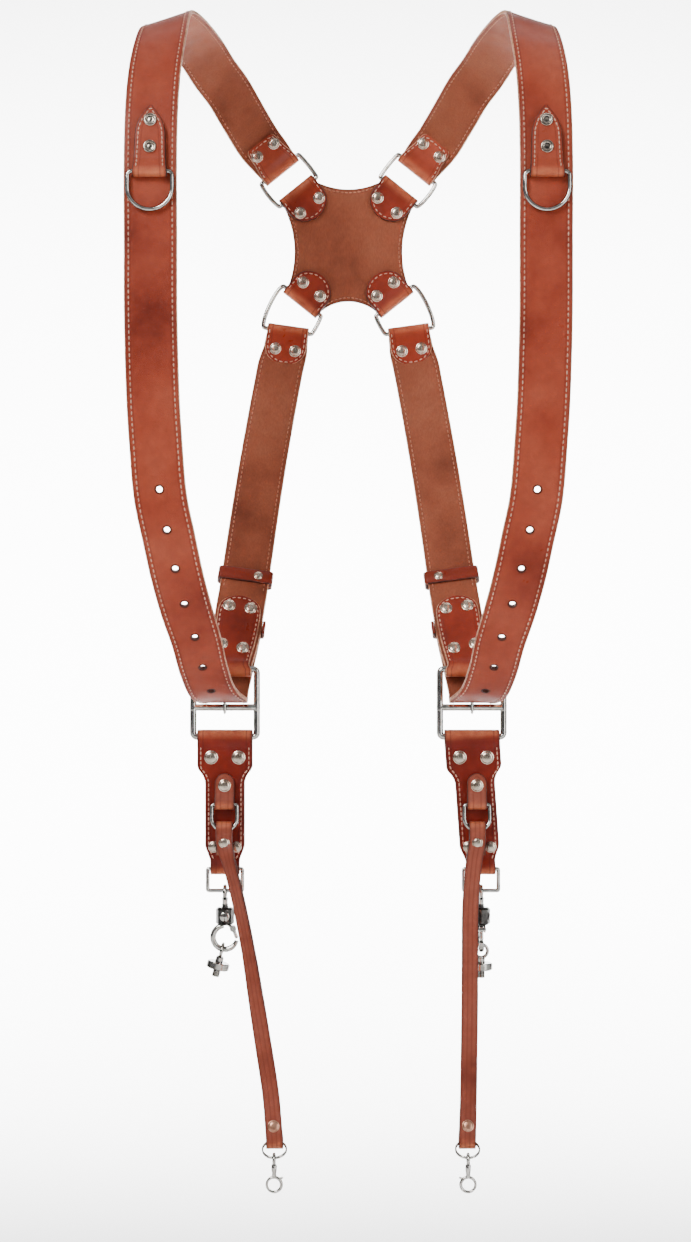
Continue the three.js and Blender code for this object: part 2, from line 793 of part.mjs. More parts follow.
function makeChestTab() {
  const layer = thinLeather / 2;
  const turn = chestWire + gap + layer;
  const backOffset = strapThickness / 2 + looseFit + layer;
  const frontOffset = (distance) => lerp(
    backOffset + turn * 2,
    backOffset + thinLeather + gap,
    THREE.MathUtils.smoothstep(distance, 0, turn * 3.4),
  );
  const point = (distance, offset, half) => {
    const { at, across, out } = chestFrame(Math.max(distance, 0));
    const along = out.clone().cross(across);
    const past = Math.min(distance, 0);
    return { at: at.clone().addScaledVector(out, offset).addScaledVector(along, past), across, half };
  };
  const stops = [];
  CHEST_TAB.slice().reverse().forEach(({ up, wide }) => {
    stops.push(point(up * chestTabLength, backOffset, wide * chestFoldWidth / 2));
  });
  [30, 60, 90, 120, 150].forEach((angle) => stops.push(point(
    -turn * Math.sin(angle * DEG),
    backOffset + turn - turn * Math.cos(angle * DEG),
    chestFoldWidth / 2,
  )));
  CHEST_TAB.forEach(({ up, wide }) => {
    const distance = up * chestTabLength;
    stops.push(point(distance, frontOffset(distance), wide * chestFoldWidth / 2));
  });
  const frames = stops.map((stop, index) => {
    const before = stops[Math.max(index - 1, 0)].at;
    const after = stops[Math.min(index + 1, stops.length - 1)].at;
    const along = after.clone().sub(before).normalize();
    const across = stop.across.clone().addScaledVector(along, -stop.across.dot(along)).normalize();
    return { ...stop, across, out: across.clone().cross(along) };
  });
  return strapThrough(frames, thinLeather);
}

// A D-shaped ring in the (X, Z) plane, its straight bar at the origin, hanging down
function dRing(half, height, wire, barHalf) {
  const corner = half - barHalf;
  const bowTop = half - height;
  return wireLoop([
    ...arcSpots(-barHalf, -corner, corner, 90, 180, 2),
    ...arcSpots(0, bowTop, half, 180, 360, 8),
    ...arcSpots(barHalf, -corner, corner, 0, 90, 2),
  ], wire);
}

// Depth of an outline that cuts right through a folded piece
const cutDepth = (frameWire + hangerLeather) * 6;

// Hanger: two layers of leather sewn together, round the frame's bottom bar and round the link
const HANGER_OUTLINE = [
  { down: -0.08, width: 'top' }, { down: 0.235, width: 'top' }, { down: 0.285, width: 'shoulder' },
  { down: 0.335, width: 'body' }, { down: 0.83, width: 'body' }, { down: 0.93, width: 'foot' },
  { down: 1.08, width: 'foot' },
];
const shoulderHollow = 1;
const hangerHalf = {
  top: hangerTopWidth / 2,
  shoulder: (hangerTopWidth + hangerWidth) / 4 - shoulderHollow,
  body: hangerWidth / 2,
  foot: hangerFootWidth / 2,
};

// Side view of two layers that open round a wire at each end; each loop runs on by an angle
const LOOP_SPREAD = 16;

function loopedPlate(length, thickness, topWire, bottomWire, leatherThickness) {
  const topOuter = topWire + gap + leatherThickness;
  const bottomOuter = bottomWire + gap + leatherThickness;
  const half = thickness / 2;
  const shape = new THREE.Shape();
  const topLean = Math.asin(half / topOuter) / DEG + LOOP_SPREAD;
  const bottomLean = Math.asin(half / bottomOuter) / DEG + LOOP_SPREAD;
  shape.absarc(0, 0, topOuter, (topLean - 90) * DEG, (270 - topLean) * DEG, false);
  shape.lineTo(-half, -topOuter * 2.4);
  shape.lineTo(-half, -length + bottomOuter * 2.4);
  shape.absarc(0, -length, bottomOuter, (90 + bottomLean) * DEG, (450 - bottomLean) * DEG, false);
  shape.lineTo(half, -length + bottomOuter * 2.4);
  shape.lineTo(half, -topOuter * 2.4);
  shape.closePath();
  const eye = (z, radius) => {
    const hole = new THREE.Path();
    hole.absarc(0, z, radius, 0, 2 * Math.PI, true);
    return hole;
  };
  shape.holes.push(eye(0, topWire + gap), eye(-length, bottomWire + gap));
  return shape;
}

function makeHanger(sway) {
  const profile = loopedPlate(hangerLength, hangerLeather * 2, frameWire, linkWire, hangerLeather);
  const side = sideProfile(profile, hangerTopWidth * 1.6, 7);
  const outline = new THREE.Shape();
  const edge = (hand) => HANGER_OUTLINE.map(({ down, width }) => [
    hand * hangerHalf[width] - sway * THREE.MathUtils.clamp(down, 0, 1) * hangerLength,
    -down * hangerLength,
  ]);
  const right = edge(1);
  const left = edge(-1).reverse();
  outline.setFromPoints([...right, ...left].map(([x, z]) => new THREE.Vector2(x, z)));
  outline.closePath();
  return common(side, frontOutline(outline, cutDepth));
}

// Small tab: a folded strip on the hanger's face that holds the small ring
const smallRingY = -(hangerLeather + gap + thinLeather + gap + smallWire);

function makeSmallTab() {
  const half = thinLeather + gap / 2;
  const outer = smallWire + gap + thinLeather;
  const shape = new THREE.Shape();
  shape.moveTo(outer, smallTabLength);
  shape.lineTo(outer, 0);
  shape.absarc(0, 0, outer, 0, -180 * DEG, true);
  shape.lineTo(-outer, outer);
  shape.lineTo(outer - half * 2, outer * 2.6);
  shape.lineTo(outer - half * 2, smallTabLength);
  shape.closePath();
  const eye = new THREE.Path();
  eye.absarc(0, 0, smallWire + gap, 0, 2 * Math.PI, false);
  shape.holes.push(eye);
  const outline = new THREE.Shape();
  const wide = smallTabWidth / 2;
  outline.moveTo(-wide, -outer * 1.5);
  outline.lineTo(wide, -outer * 1.5);
  outline.lineTo(wide, smallTabLength - wide);
  outline.absarc(0, smallTabLength - wide, wide * 0.999, 0, Math.PI, false);
  outline.closePath();
  return common(sideProfile(shape, smallTabWidth + 1, 6), frontOutline(outline, cutDepth, 6));
}

// Rectangular link in the hanger's foot
function makeLink() {
  return wireLoop(roundedLoop(linkWidth, linkHeight, linkCorner, 2), linkWire);
}

// Snap hook, drawn about the link's lower bar
const eyeDrop = eyeRadius - eyeWire - linkWire - gap;
const barrelTop = -(eyeDrop + eyeRadius + stemLength - barrelWall);
const barrelBottom = barrelTop - barrelHeight;
const clawCentre = barrelBottom - clawRadius - 0.5;

function makeHookEye() {
  const ring = wireRing(eyeRadius, eyeWire, X, v(0, 0, -eyeDrop), 16);
  const stemTop = -eyeDrop - eyeRadius;
  const headTop = barrelTop - barrelWall - gap;
  const stem = rod(v(0, 0, stemTop), v(0, 0, headTop - stemHeadHeight / 2), stemRadius);
  const head = rod(v(0, 0, headTop), v(0, 0, headTop - stemHeadHeight), stemHeadRadius);
  return joined(ring, stem, head);
}

function clawPoint(angle, radius = clawRadius) {
  return v(radius * Math.cos(angle * DEG), 0, clawCentre + radius * Math.sin(angle * DEG));
}

const CLAW_ANGLES = { from: 95, to: 345 };
const GATE_HINGE_ANGLE = 48;
const GATE_TIP_ANGLE = -5;

function makeHookBody() {
  const barrel = rod(v(0, 0, barrelTop), v(0, 0, barrelBottom), barrelRadius, 8);
  const cavity = rod(
    v(0, 0, barrelTop - barrelWall),
    v(0, 0, barrelBottom + barrelWall * 1.6),
    stemHeadRadius + gap,
  );
  const bore = rod(v(0, 0, barrelTop + 1), v(0, 0, barrelTop - barrelWall - 1), stemRadius + gap);
  const points = [];
  for (let share = 0; share <= 1; share += 1 / 12) {
    points.push(clawPoint(lerp(CLAW_ANGLES.from, CLAW_ANGLES.to, share)));
  }
  const wire = new THREE.Shape();
  wire.absarc(0, 0, clawWire, 0, 2 * Math.PI, false);
  const claw = new THREE.ExtrudeGeometry(wire, {
    steps: 18,
    curveSegments: 4,
    bevelEnabled: false,
    extrudePath: new THREE.CatmullRomCurve3(points, false, 'centripetal'),
  });
  const hinge = clawPoint(GATE_HINGE_ANGLE);
  const ears = [1, -1].map((side) => rod(
    hinge.clone().add(v(0, side * (gateWire + gap), 0)),
    hinge.clone().add(v(0, side * (gateWire + gap + earWidth), 0)),
    earRadius,
  ));
  const pinEnd = v(0, gateWire + gap + earWidth / 2, 0);
  const pin = rod(hinge.clone().sub(pinEnd), hinge.clone().add(pinEnd), gatePin);
  const cheeks = [1, -1].map((side) => {
    const y = side * (gateWire + gap + earWidth / 2);
    return rod(v(1.5, y, barrelBottom + 1), v(hinge.x, y, hinge.z), earWidth * 0.495, 6);
  });
  return joined(cut(barrel, cavity, bore), claw, ...ears, pin, ...cheeks);
}

function makeHookGate() {
  const hinge = clawPoint(GATE_HINGE_ANGLE);
  const tip = clawPoint(GATE_TIP_ANGLE);
  const knuckle = rod(
    hinge.clone().add(v(0, -gateWire, 0)),
    hinge.clone().add(v(0, gateWire, 0)),
    gatePin + gap + knuckleWall,
    10,
  );
  const arm = rod(hinge, tip, gateWire * 0.97);
  const boreEnd = v(0, gateWire * 2, 0);
  const bore = rod(hinge.clone().sub(boreEnd), hinge.clone().add(boreEnd), gatePin + gap, 10);
  return cut(joined(knuckle, arm), bore);
}

// Screw: a ring round the claw, a neck, a wide disc and a plain stud
function makeScrew() {
  const ringTop = -clawRadius + clawWire + gap + screwRingWire;
  const ringCentre = ringTop - screwRingRadius;
  const neckTop = ringCentre - screwRingRadius;
  const discTop = neckTop - neckHeight;
  const parts = [
    wireRing(screwRingRadius, screwRingWire, X, v(0, 0, ringCentre), 16),
    rod(v(0, 0, neckTop), v(0, 0, discTop - 1), neckRadius),
    rod(v(0, 0, discTop), v(0, 0, discTop - discHeight), discRadius, 16),
    rod(v(0, 0, discTop - discHeight + 1), v(0, 0, discTop - discHeight - studLength), studRadius, 10),
  ];
  return joined(...parts);
}

// Tether: a narrow strap from the small ring to the split ring
const TETHER_ROUTES = {
  left: [
    { down: 0.1, inward: 0.016, fore: 0.02 }, { down: 0.22, inward: 0.048, fore: 0.046 },
    { down: 0.388, inward: 0.085, fore: 0.085 }, { down: 0.545, inward: 0.113, fore: 0.125 },
    { down: 0.7, inward: 0.14, fore: 0.16 }, { down: 0.855, inward: 0.165, fore: 0.185 },
  ],
  right: [
    { down: 0.1, inward: 0.012, fore: 0.02 }, { down: 0.24, inward: 0.026, fore: 0.05 },
    { down: 0.4, inward: 0.03, fore: 0.085 }, { down: 0.56, inward: 0.033, fore: 0.125 },
    { down: 0.72, inward: 0.037, fore: 0.16 }, { down: 0.88, inward: 0.041, fore: 0.185 },
  ],
};
const TETHER_END = { left: { inward: 0.178, fore: 0.2 }, right: { inward: 0.046, fore: 0.2 } };

function straightened(stops) {
  return stops.map((stop, index) => {
    const before = stops[Math.max(index - 1, 0)].at;
    const after = stops[Math.min(index + 1, stops.length - 1)].at;
    const along = after.clone().sub(before).normalize();
    const across = X.clone().addScaledVector(along, -along.x).normalize();
    return { ...stop, across, out: across.clone().cross(along) };
  });
}

// A tether hangs from its top ring's bow at the origin; its lower loop holds the split ring
function makeTether(side, ringSag) {
  const half = tetherWidth / 2;
  const layer = (tetherThickness + gap) / 2;
  const at = ({ down, inward, fore }, shift) => ({
    at: v(inward * tetherLength, -fore * tetherLength + shift, -down * tetherLength),
    half,
  });
  const end = TETHER_END[side];
  const topTurn = smallWire + loopSlack + tetherThickness / 2;
  const splitSag = splitRingRadius - Math.sqrt(splitRingRadius ** 2 - half ** 2);
  const lowTurn = splitRingWire + loopSlack + (splitSag + tetherThickness) / 2;
  const endPlace = at({ down: 1, ...end }, 0).at.add(v(0, -splitSag / 2, 0));
  const loop = (centre, turn, angles) => angles.map((angle) => ({
    at: centre.clone().add(v(0, turn * Math.cos(angle * DEG), turn * Math.sin(angle * DEG))),
    half,
  }));
  const topTab = [
    { at: v(0, layer * 1.1 - 0.1, -19), half }, { at: v(0, layer * 1.3, -10), half },
  ];
  const route = [
    { at: v(0, -layer * 1.3, -9), half },
    ...TETHER_ROUTES[side].map((row) => at(row, -layer)),
  ];
  const lowTab = [
    { at: endPlace.clone().add(v(-end.inward * 8, layer * 1.3 + 1.4, 8)), half },
    { at: endPlace.clone().add(v(-end.inward * 22, layer + 4, 22)), half },
  ];
  const stops = [
    ...topTab,
    { at: v(0, topTurn, -smallWire - gap), half },
    ...loop(v(0, 0, ringSag), topTurn, [0, 45, 90, 135, 180]),
    { at: v(0, -topTurn, -smallWire - gap), half },
    ...route,
    ...loop(endPlace, lowTurn, [180, 225, 270, 315, 360]),
    ...lowTab,
  ];
  return strapThrough(straightened(stops), tetherThickness);
}

function makeSplitRing() {
  return wireRing(splitRingRadius, splitRingWire, Z, v(0, 0, 0), 18);
}

// Lobster clasp hanging from the split ring: a small eye, a waist and a closed bow
function makeClasp() {
  const drop = claspEye - splitRingWire - gap;
  const eye = wireRing(claspEye + claspWire, claspWire, X, v(0, 0, -drop), 10);
  const bowCentre = -claspLength + claspBow;
  const waistTop = -drop - claspEye - claspWire;
  const waist = rod(v(0, 0, waistTop), v(0, 0, bowCentre + claspBow), claspWire * 1.7);
  const bow = wireRing(claspBow, claspWire, Y, v(0, 0, bowCentre), 12);
  return joined(eye, waist, bow);
}

// Assembly
const group = new THREE.Group();

function mirrored(geometry) {
  const copy = welded(geometry);
  copy.scale(-1, 1, 1);
  const faces = copy.index.array;
  for (let corner = 0; corner < faces.length; corner += 3) {
    [faces[corner], faces[corner + 1]] = [faces[corner + 1], faces[corner]];
  }
  return copy;
}

function addMesh(parent, name, geometry, material) {
  const mesh = new THREE.Mesh(welded(geometry), material.clone());
  mesh.name = name;
  parent.add(mesh);
  return mesh;
}

// The side on the viewer's left is drawn, and the other is its mirror image
const SIDES = {
  left: { sign: 1, sway: 0, hookTurn: 0, screwTilt: 14 },
  right: { sign: -1, sway: 0.07, hookTurn: 90, screwTilt: 0 },
};

addMesh(group, 'yoke', makeYoke(), innerLeather);

function buildSide(side) {
  const { sign, sway, hookTurn, screwTilt } = SIDES[side];
  const handed = (geometry) => (sign > 0 ? geometry : mirrored(geometry));
  const add = (parent, name, geometry, material) => (
    addMesh(parent, `${name}_${side}`, handed(geometry), material));
  const place = (parent, x, y, z) => {
    const holder = new THREE.Group();
    holder.position.set(sign * x, y, z);
    parent.add(holder);
    return holder;
  };

  add(group, 'shoulder_strap', makeShoulderStrap(), leather);
  add(group, 'back_strap', makeBackStrap(), leather);
  add(group, 'yoke_ring_upper', makeUpperYokeRing(), nickel);
  add(group, 'yoke_ring_lower', makeLowerYokeRing(), nickel);
  add(group, 'keeper_upper', makeUpperKeeper(), leather);
  add(group, 'keeper_lower', makeLowerKeeper(), leather);
  add(group, 'chest_tab', makeChestTab(), leather);

  const chest = chestFrame(0);
  const chestAt = chest.at.clone().addScaledVector(chest.out, chestRingY);
  const ringPlace = place(group, chestAt.x, chestAt.y, chestAt.z);
  const barHalf = chestFoldWidth / 2 + gap;
  add(ringPlace, 'chest_ring', dRing(chestRingHalf, chestRingHeight, chestWire, barHalf), nickel);

  const hip = place(group, heelBar.x, heelBar.y, heelBar.z);
  add(hip, 'hip_frame', makeHipFrame(), nickel);
  add(hip, 'prong', makeProng(), nickel);

  const hanger = place(hip, 0, 0, -bottomBarBelow);
  add(hanger, 'hanger', makeHanger(sway), leather);

  const smallRing = place(hanger, -sway * smallTabDrop, smallRingY, -smallTabDrop);
  add(smallRing, 'small_tab', makeSmallTab(), leather);
  const leaning = place(smallRing, 0, 0, 0);
  leaning.rotation.x = -smallRingLean * DEG;
  const smallBar = smallTabWidth / 2 + gap / 2;
  add(leaning, 'small_ring', dRing(smallRingHalf, smallRingHeight, smallWire, smallBar), nickel);

  const link = place(hanger, -sway * hangerLength, 0, -hangerLength);
  add(link, 'link', makeLink(), nickel);

  const hook = place(link, 0, 0, -linkHeight);
  add(hook, 'hook_eye', makeHookEye(), nickel);
  const swivel = place(hook, 0, 0, 0);
  swivel.rotation.z = hookTurn * DEG;
  add(swivel, 'hook_body', makeHookBody(), darkSteel);
  add(swivel, 'hook_gate', makeHookGate(), nickel);
  const screw = place(swivel, 0, 0, clawCentre);
  screw.rotation.y = sign * screwTilt * DEG;
  add(screw, 'mount_screw', makeScrew(), nickel);

  const ringSag = smallRingHalf - Math.sqrt(smallRingHalf ** 2 - (tetherWidth / 2) ** 2);
  const bow = place(leaning, 0, 0, -smallRingHeight);
  bow.rotation.x = smallRingLean * DEG;
  add(bow, 'tether', makeTether(side, ringSag), leather);

  const end = TETHER_END[side];
  const low = place(bow, end.inward * tetherLength, -end.fore * tetherLength, -tetherLength);
  low.rotation.x = splitRingTilt * DEG;
  const ringLow = place(low, 0, -splitRingRadius, 0);
  add(ringLow, 'split_ring', makeSplitRing(), nickel);
  const claspPlace = place(ringLow, 0, -splitRingRadius, 0);
  claspPlace.rotation.x = -splitRingTilt * DEG;
  add(claspPlace, 'clasp', makeClasp(), nickel);
}

buildSide('left');
buildSide('right');

export default group;
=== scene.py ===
from math import cos, pi, radians, sin, sqrt

import bmesh
import bpy
import numpy as np
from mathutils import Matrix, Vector


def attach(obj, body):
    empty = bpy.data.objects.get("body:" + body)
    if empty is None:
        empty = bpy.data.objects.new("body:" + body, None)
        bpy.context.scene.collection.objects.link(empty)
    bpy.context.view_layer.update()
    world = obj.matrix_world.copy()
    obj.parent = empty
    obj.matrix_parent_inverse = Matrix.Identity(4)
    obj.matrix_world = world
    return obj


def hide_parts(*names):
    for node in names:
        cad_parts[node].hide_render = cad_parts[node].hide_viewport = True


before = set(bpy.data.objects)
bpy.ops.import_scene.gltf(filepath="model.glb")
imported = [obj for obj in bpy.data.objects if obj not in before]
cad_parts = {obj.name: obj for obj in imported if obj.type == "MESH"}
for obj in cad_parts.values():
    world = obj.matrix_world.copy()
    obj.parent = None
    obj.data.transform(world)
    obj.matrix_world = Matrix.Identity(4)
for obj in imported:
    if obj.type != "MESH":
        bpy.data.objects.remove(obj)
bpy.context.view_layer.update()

# Sizes of the harness, in millimetres, as the frame has them
MM = 0.001
GAP = 0.3
LOOSE = 0.6
LOOP_SLACK = 1.2

SHOULDER_HALF = 134.6
CHEST_HALF, CHEST_REACH, CHEST_DROP = 140.5, 90, 175
HIP_HALF, HIP_REACH, HIP_DROP = 94.7, 32, 487
YOKE_REACH, YOKE_DROP = 153, 140

STRAP_WIDTH, STRAP_THICK, THIN_LEATHER = 38, 3, 2.2
RING_FOLD_WIDTH, HEEL_FOLD_WIDTH = 34, 36
TAIL_LENGTH, HOLE_PITCH, HOLE_CUT = 118, 29.5, 2.3
HOLES_ABOVE_PRONG, HOLES_IN_TAIL = 7, 2

SHOULDER_TAB_LENGTH, SHOULDER_TAB_WIDTH = 27, 24
BACK_TAB_LENGTH, HEEL_TAB_LENGTH, HEEL_TAB_WIDTH = 28, 65.5, 33
KEEPER_LEATHER, KEEPER_HEIGHT = 2.3, 11
UPPER_KEEPER_AT, LOWER_KEEPER_AT = 86, 41

YOKE_WAIST_HALF, YOKE_WAIST_UP, YOKE_ARM_ANGLE = 44.6, 46.3, 51.3
UPPER_ARM_OUT, UPPER_ARM_UP = 41.2, 43.8
LOWER_ARM_OUT, LOWER_ARM_DOWN = 37.7, 46
YOKE_ARM_WIDTH, YOKE_TAB_LENGTH = 34.5, 26
YOKE_WIRE, YOKE_RING_WIRE, UPPER_RING_SPAN, LOWER_RING_SPAN = 1.5, 1.75, 24.5, 27.8
LOWER_RING_LEAN, LOWER_FOLD_TURN = 26, 8
RING_INNER_BOW, UPPER_RING_OUTER_BOW, LOWER_RING_OUTER_BOW = 1.6, 3, 6.5

CHEST_TAB_LENGTH, CHEST_FOLD_WIDTH, CHEST_RING_DROP, CHEST_LOOSE = 48, 24.5, 131.86, 0.2
CHEST_WIRE, CHEST_RING_HALF, CHEST_RING_HEIGHT = 1.5, 15.9, 27

FRAME_WIDTH, FRAME_WIRE, CROSS_BAR_WIRE = 48.8, 2.5, 2.6
CROSS_BAR_BELOW, BOTTOM_BAR_BELOW, FRAME_CORNER = 29.3, 51.7, 2.8
PRONG_WIRE, PRONG_PAST, BEND_RADIUS = 1.3, 5, 9

HANGER_LENGTH, HANGER_TOP_WIDTH, HANGER_WIDTH = 101.5, 42.4, 30.4
HANGER_FOOT_WIDTH, HANGER_LEATHER = 22.4, 2.6
SMALL_TAB_DROP, SMALL_TAB_LENGTH, SMALL_TAB_WIDTH = 51.5, 23.5, 15
SMALL_WIRE, SMALL_RING_HALF, SMALL_RING_HEIGHT, SMALL_RING_LEAN = 1.5, 9.7, 20, 10

LINK_WIRE, LINK_WIDTH, LINK_HEIGHT, LINK_CORNER = 1.5, 26.6, 16.7, 1
EYE_RADIUS, EYE_WIRE, STEM_RADIUS, STEM_LENGTH = 4.6, 1.5, 2.1, 9.2
STEM_HEAD_RADIUS, STEM_HEAD_HEIGHT = 3.5, 2.2
BARREL_RADIUS, BARREL_HEIGHT, BARREL_WALL, BARREL_BEVEL, BARREL_SIDES = 7, 13.5, 2.4, 1.6, 8
CLAW_RADIUS, CLAW_WIRE, CLAW_ANGLES = 9.2, 2.2, (95, 345)
GATE_WIRE, GATE_PIN, GATE_HINGE_ANGLE, GATE_TIP_ANGLE = 1.4, 1.1, 48, -5
EAR_RADIUS, EAR_WIDTH, KNUCKLE_WALL, CHEEK_RADIUS = 2.4, 1.6, 1.1, 0.85
BOSS_RADIUS, BOSS_RISE, THREAD_TURNS, THREAD_PITCH, THREAD_DEPTH = 3.6, 1.0, 5, 1.1, 0.45
SCREW_RING_RADIUS, SCREW_RING_WIRE, NECK_HEIGHT, NECK_RADIUS = 5, 1.3, 4, 3
DISC_RADIUS, DISC_HEIGHT, STUD_RADIUS, STUD_LENGTH = 8.7, 5.5, 3.1, 6

TETHER_WIDTH, TETHER_THICK, TETHER_LENGTH = 12.6, 2, 225.5
SPLIT_RING_RADIUS, SPLIT_RING_WIRE, SPLIT_RING_TILT = 8.8, 1.1, 30
CLASP_LENGTH, CLASP_WIRE, CLASP_BOW, CLASP_EYE = 25, 1.2, 5.4, 2.6

# Rivets: how far up or down a tab, how far apart from its middle, and the head's size share
RIVET_RADIUS, RIVET_RISE = 4.9, 1.9
YOKE_RIVETS = {"upper": (14.9, 10), "lower": (11.8, 9)}
SHOULDER_RIVET_UP, SHOULDER_RIVET_SPREAD = 18.9, 8.7
HEEL_RIVETS_DOWN, HEEL_RIVET_SPREAD = (55.5, 20.3), 8.4
BACK_RIVET_UP, BACK_RIVET_SPREAD = 15.9, 8.1
CHEST_RIVETS_UP = 16.6, 36.4
KEEPER_RIVET_ACROSS, KEEPER_RIVET_SHARE = 10, 0.72
HANGER_RIVETS = [(15.9, 10.5, 1.08), (84.5, 8.5, 0.88)]
SMALL_TAB_RIVET_UP, SMALL_TAB_RIVET_SHARE = 14.4, 0.98
TETHER_RIVET_DROP, TETHER_RIVET_RISE = 9.4, 12.4

# Stitches: pitch, length and thread, how far in from the edge, and how far they stand off
STITCH_PITCH, STITCH_LENGTH, THREAD_RADIUS = 4.1, 3.1, 0.5
CLOSE_PITCH, HANGER_PITCH = 3.4, 3.6
STITCH_INSET, TAB_INSET, YOKE_INSET, HANGER_INSET = 3.4, 2.2, 2.9, 2.8
STITCH_LIFT, HANGER_STITCH_LIFT, HANGER_RIVET_LIFT = 0.12, 0.16, 0.04

# How each side hangs: a hand of 1 is the side with negative X
SIDES = {
    "left": {"hand": 1, "sway": 0, "hook_turn": 0, "screw_tilt": 14, "twist": 40},
    "right": {"hand": -1, "sway": 0.07, "hook_turn": 90, "screw_tilt": 0, "twist": 8},
}

# Camera
PHOTO_WIDTH, PHOTO_HEIGHT = 691, 1242
FOCAL_PIXELS = 2112.7
CENTRE_COLUMN = 348.4
CAMERA_PLACE = (0, -1.59, -0.45)
SENSOR = 24


def in_scene(name, data):
    thing = bpy.data.objects.new(name, data)
    bpy.context.scene.collection.objects.link(thing)
    return thing


def set_camera():
    data = bpy.data.cameras.new("camera")
    data.sensor_fit = "VERTICAL"
    data.sensor_height = SENSOR
    data.lens = SENSOR * FOCAL_PIXELS / PHOTO_HEIGHT
    data.shift_x = (PHOTO_WIDTH / 2 - CENTRE_COLUMN) / PHOTO_HEIGHT
    camera = in_scene("camera", data)
    camera.location = CAMERA_PLACE
    camera.rotation_euler = (radians(90), 0, 0)
    bpy.context.scene.camera = camera


set_camera()


# Small helpers for points, in millimetres
def vec(x, y, z):
    return np.array([x, y, z], float)


X_AXIS, Y_AXIS, Z_AXIS = np.eye(3)


def unit(vector):
    return vector / np.linalg.norm(vector)


def mix(low, high, share):
    return low + (high - low) * share


def smoothstep(value, low, high):
    share = min(max((value - low) / (high - low), 0), 1)
    return share * share * (3 - 2 * share)


def banked(angle):
    return vec(cos(radians(angle)), 0, sin(radians(angle)))


def turned(points, axis, angle, centre=(0, 0, 0)):
    """Points turned about an axis through a centre, by an angle in degrees."""
    axis = unit(np.array(axis, float))
    spots = np.atleast_2d(points) - centre
    c, s = cos(radians(angle)), sin(radians(angle))
    result = spots * c + np.cross(axis, spots) * s + np.outer(spots @ axis, axis) * (1 - c)
    return result + centre


# Straps follow a smooth route through rows: a point, the direction across and half the width
def row(at, across, half):
    return {"at": np.array(at, float), "across": np.array(across, float), "half": float(half)}


def spline_piece(points, index):
    """The cubic between two of a route's points, as the frame's straps have it."""
    last = len(points) - 1
    p1, p2 = points[index], points[index + 1]
    p0 = points[index - 1] if index > 0 else 2 * p1 - p2
    p3 = points[index + 2] if index + 2 <= last else 2 * p2 - p1
    pairs = ((p0, p1), (p1, p2), (p2, p3))
    t0, t1, t2 = [max(np.linalg.norm(b[:3] - a[:3]), 1e-8) ** 0.5 for a, b in pairs]
    start = ((p1 - p0) / t0 - (p2 - p0) / (t0 + t1) + (p2 - p1) / t1) * t1
    end = ((p2 - p1) / t1 - (p3 - p1) / (t1 + t2) + (p3 - p2) / t2) * t1
    return p1, start, -3 * p1 + 3 * p2 - 2 * start - end, 2 * p1 - 2 * p2 + start + end


def frames_of(rows, spacing=3.0):
    """Fine frames along a route: place, across, along, out and half, a few for each row."""
    points = [np.append(r["at"], r["half"]) for r in rows]
    frames = []
    for index in range(len(rows) - 1):
        c0, c1, c2, c3 = spline_piece(points, index)
        length = np.linalg.norm(points[index + 1][:3] - points[index][:3])
        steps = max(2, int(round(length / spacing)))
        last = index == len(rows) - 2
        for step in range(steps + (1 if last else 0)):
            t = step / steps
            spot = c0 + c1 * t + c2 * t * t + c3 * t ** 3
            along = unit((c1 + 2 * c2 * t + 3 * c3 * t * t)[:3])
            across = mix(rows[index]["across"], rows[index + 1]["across"], t)
            across = unit(across - across.dot(along) * along)
            frames.append({
                "at": spot[:3], "across": across, "along": along, "out": np.cross(across, along),
                "half": max(spot[3], 0.4), "row": index + t,
            })
    return frames


def front_side(frames, number=-3):
    """The side of a band, 1 or -1, that faces forward at one of its frames."""
    return 1 if frames[number]["out"][1] < 0 else -1


def distances(frames):
    places = np.array([f["at"] for f in frames])
    return np.concatenate([[0], np.cumsum(np.linalg.norm(np.diff(places, axis=0), axis=1))])


def frame_at(frames, distance):
    """The frame at a distance along a strap."""
    reach = distances(frames)
    distance = min(max(distance, 0), reach[-1])
    index = min(int(np.searchsorted(reach, distance, "right")) - 1, len(frames) - 2)
    share = (distance - reach[index]) / max(reach[index + 1] - reach[index], 1e-9)
    low, high = frames[index], frames[index + 1]
    return {key: mix(low[key], high[key], share) for key in ("at", "across", "along", "out", "half")}


def distance_of_row(frames, number):
    rows = np.array([f["row"] for f in frames])
    return float(np.interp(number, rows, distances(frames)))


def fold_opening(distance, wire, thickness):
    """How far a fold's layer stands from its plane: the bar's clearance, closing to flat leather."""
    at_bar = wire + GAP + thickness / 2
    closed = (thickness + GAP) / 2
    return mix(at_bar, closed, smoothstep(distance, 0, at_bar * 2.6))


def flat_plane(bar, along, across, behind):
    """A plane that a fold lies in, as places and directions at a distance from its bar."""
    return lambda distance: (bar + along * distance, along, across, behind)


def fold_rows(plane, wire, thickness, reach, half_at, tab, tab_length, tab_width):
    """A strap's end that goes round a bar at the start of a plane and back in front of it."""
    rows = []

    def layer(distance, side, half):
        at, _, across, behind = plane(distance)
        rows.append(row(at + behind * side * fold_opening(distance, wire, thickness), across, half))

    for share in (0.62, 0.36, 0.16, 0):
        layer(reach * share, 1, half_at(reach * share))
    turn = wire + GAP + thickness / 2
    at, along, across, behind = plane(0)
    for angle in (30, 60, 90, 120, 150):
        turned_to = along * -turn * sin(radians(angle)) + behind * turn * cos(radians(angle))
        rows.append(row(at + turned_to, across, half_at(0)))
    for up, wide in tab:
        layer(up * tab_length, -1, wide * tab_width / 2)
    return rows


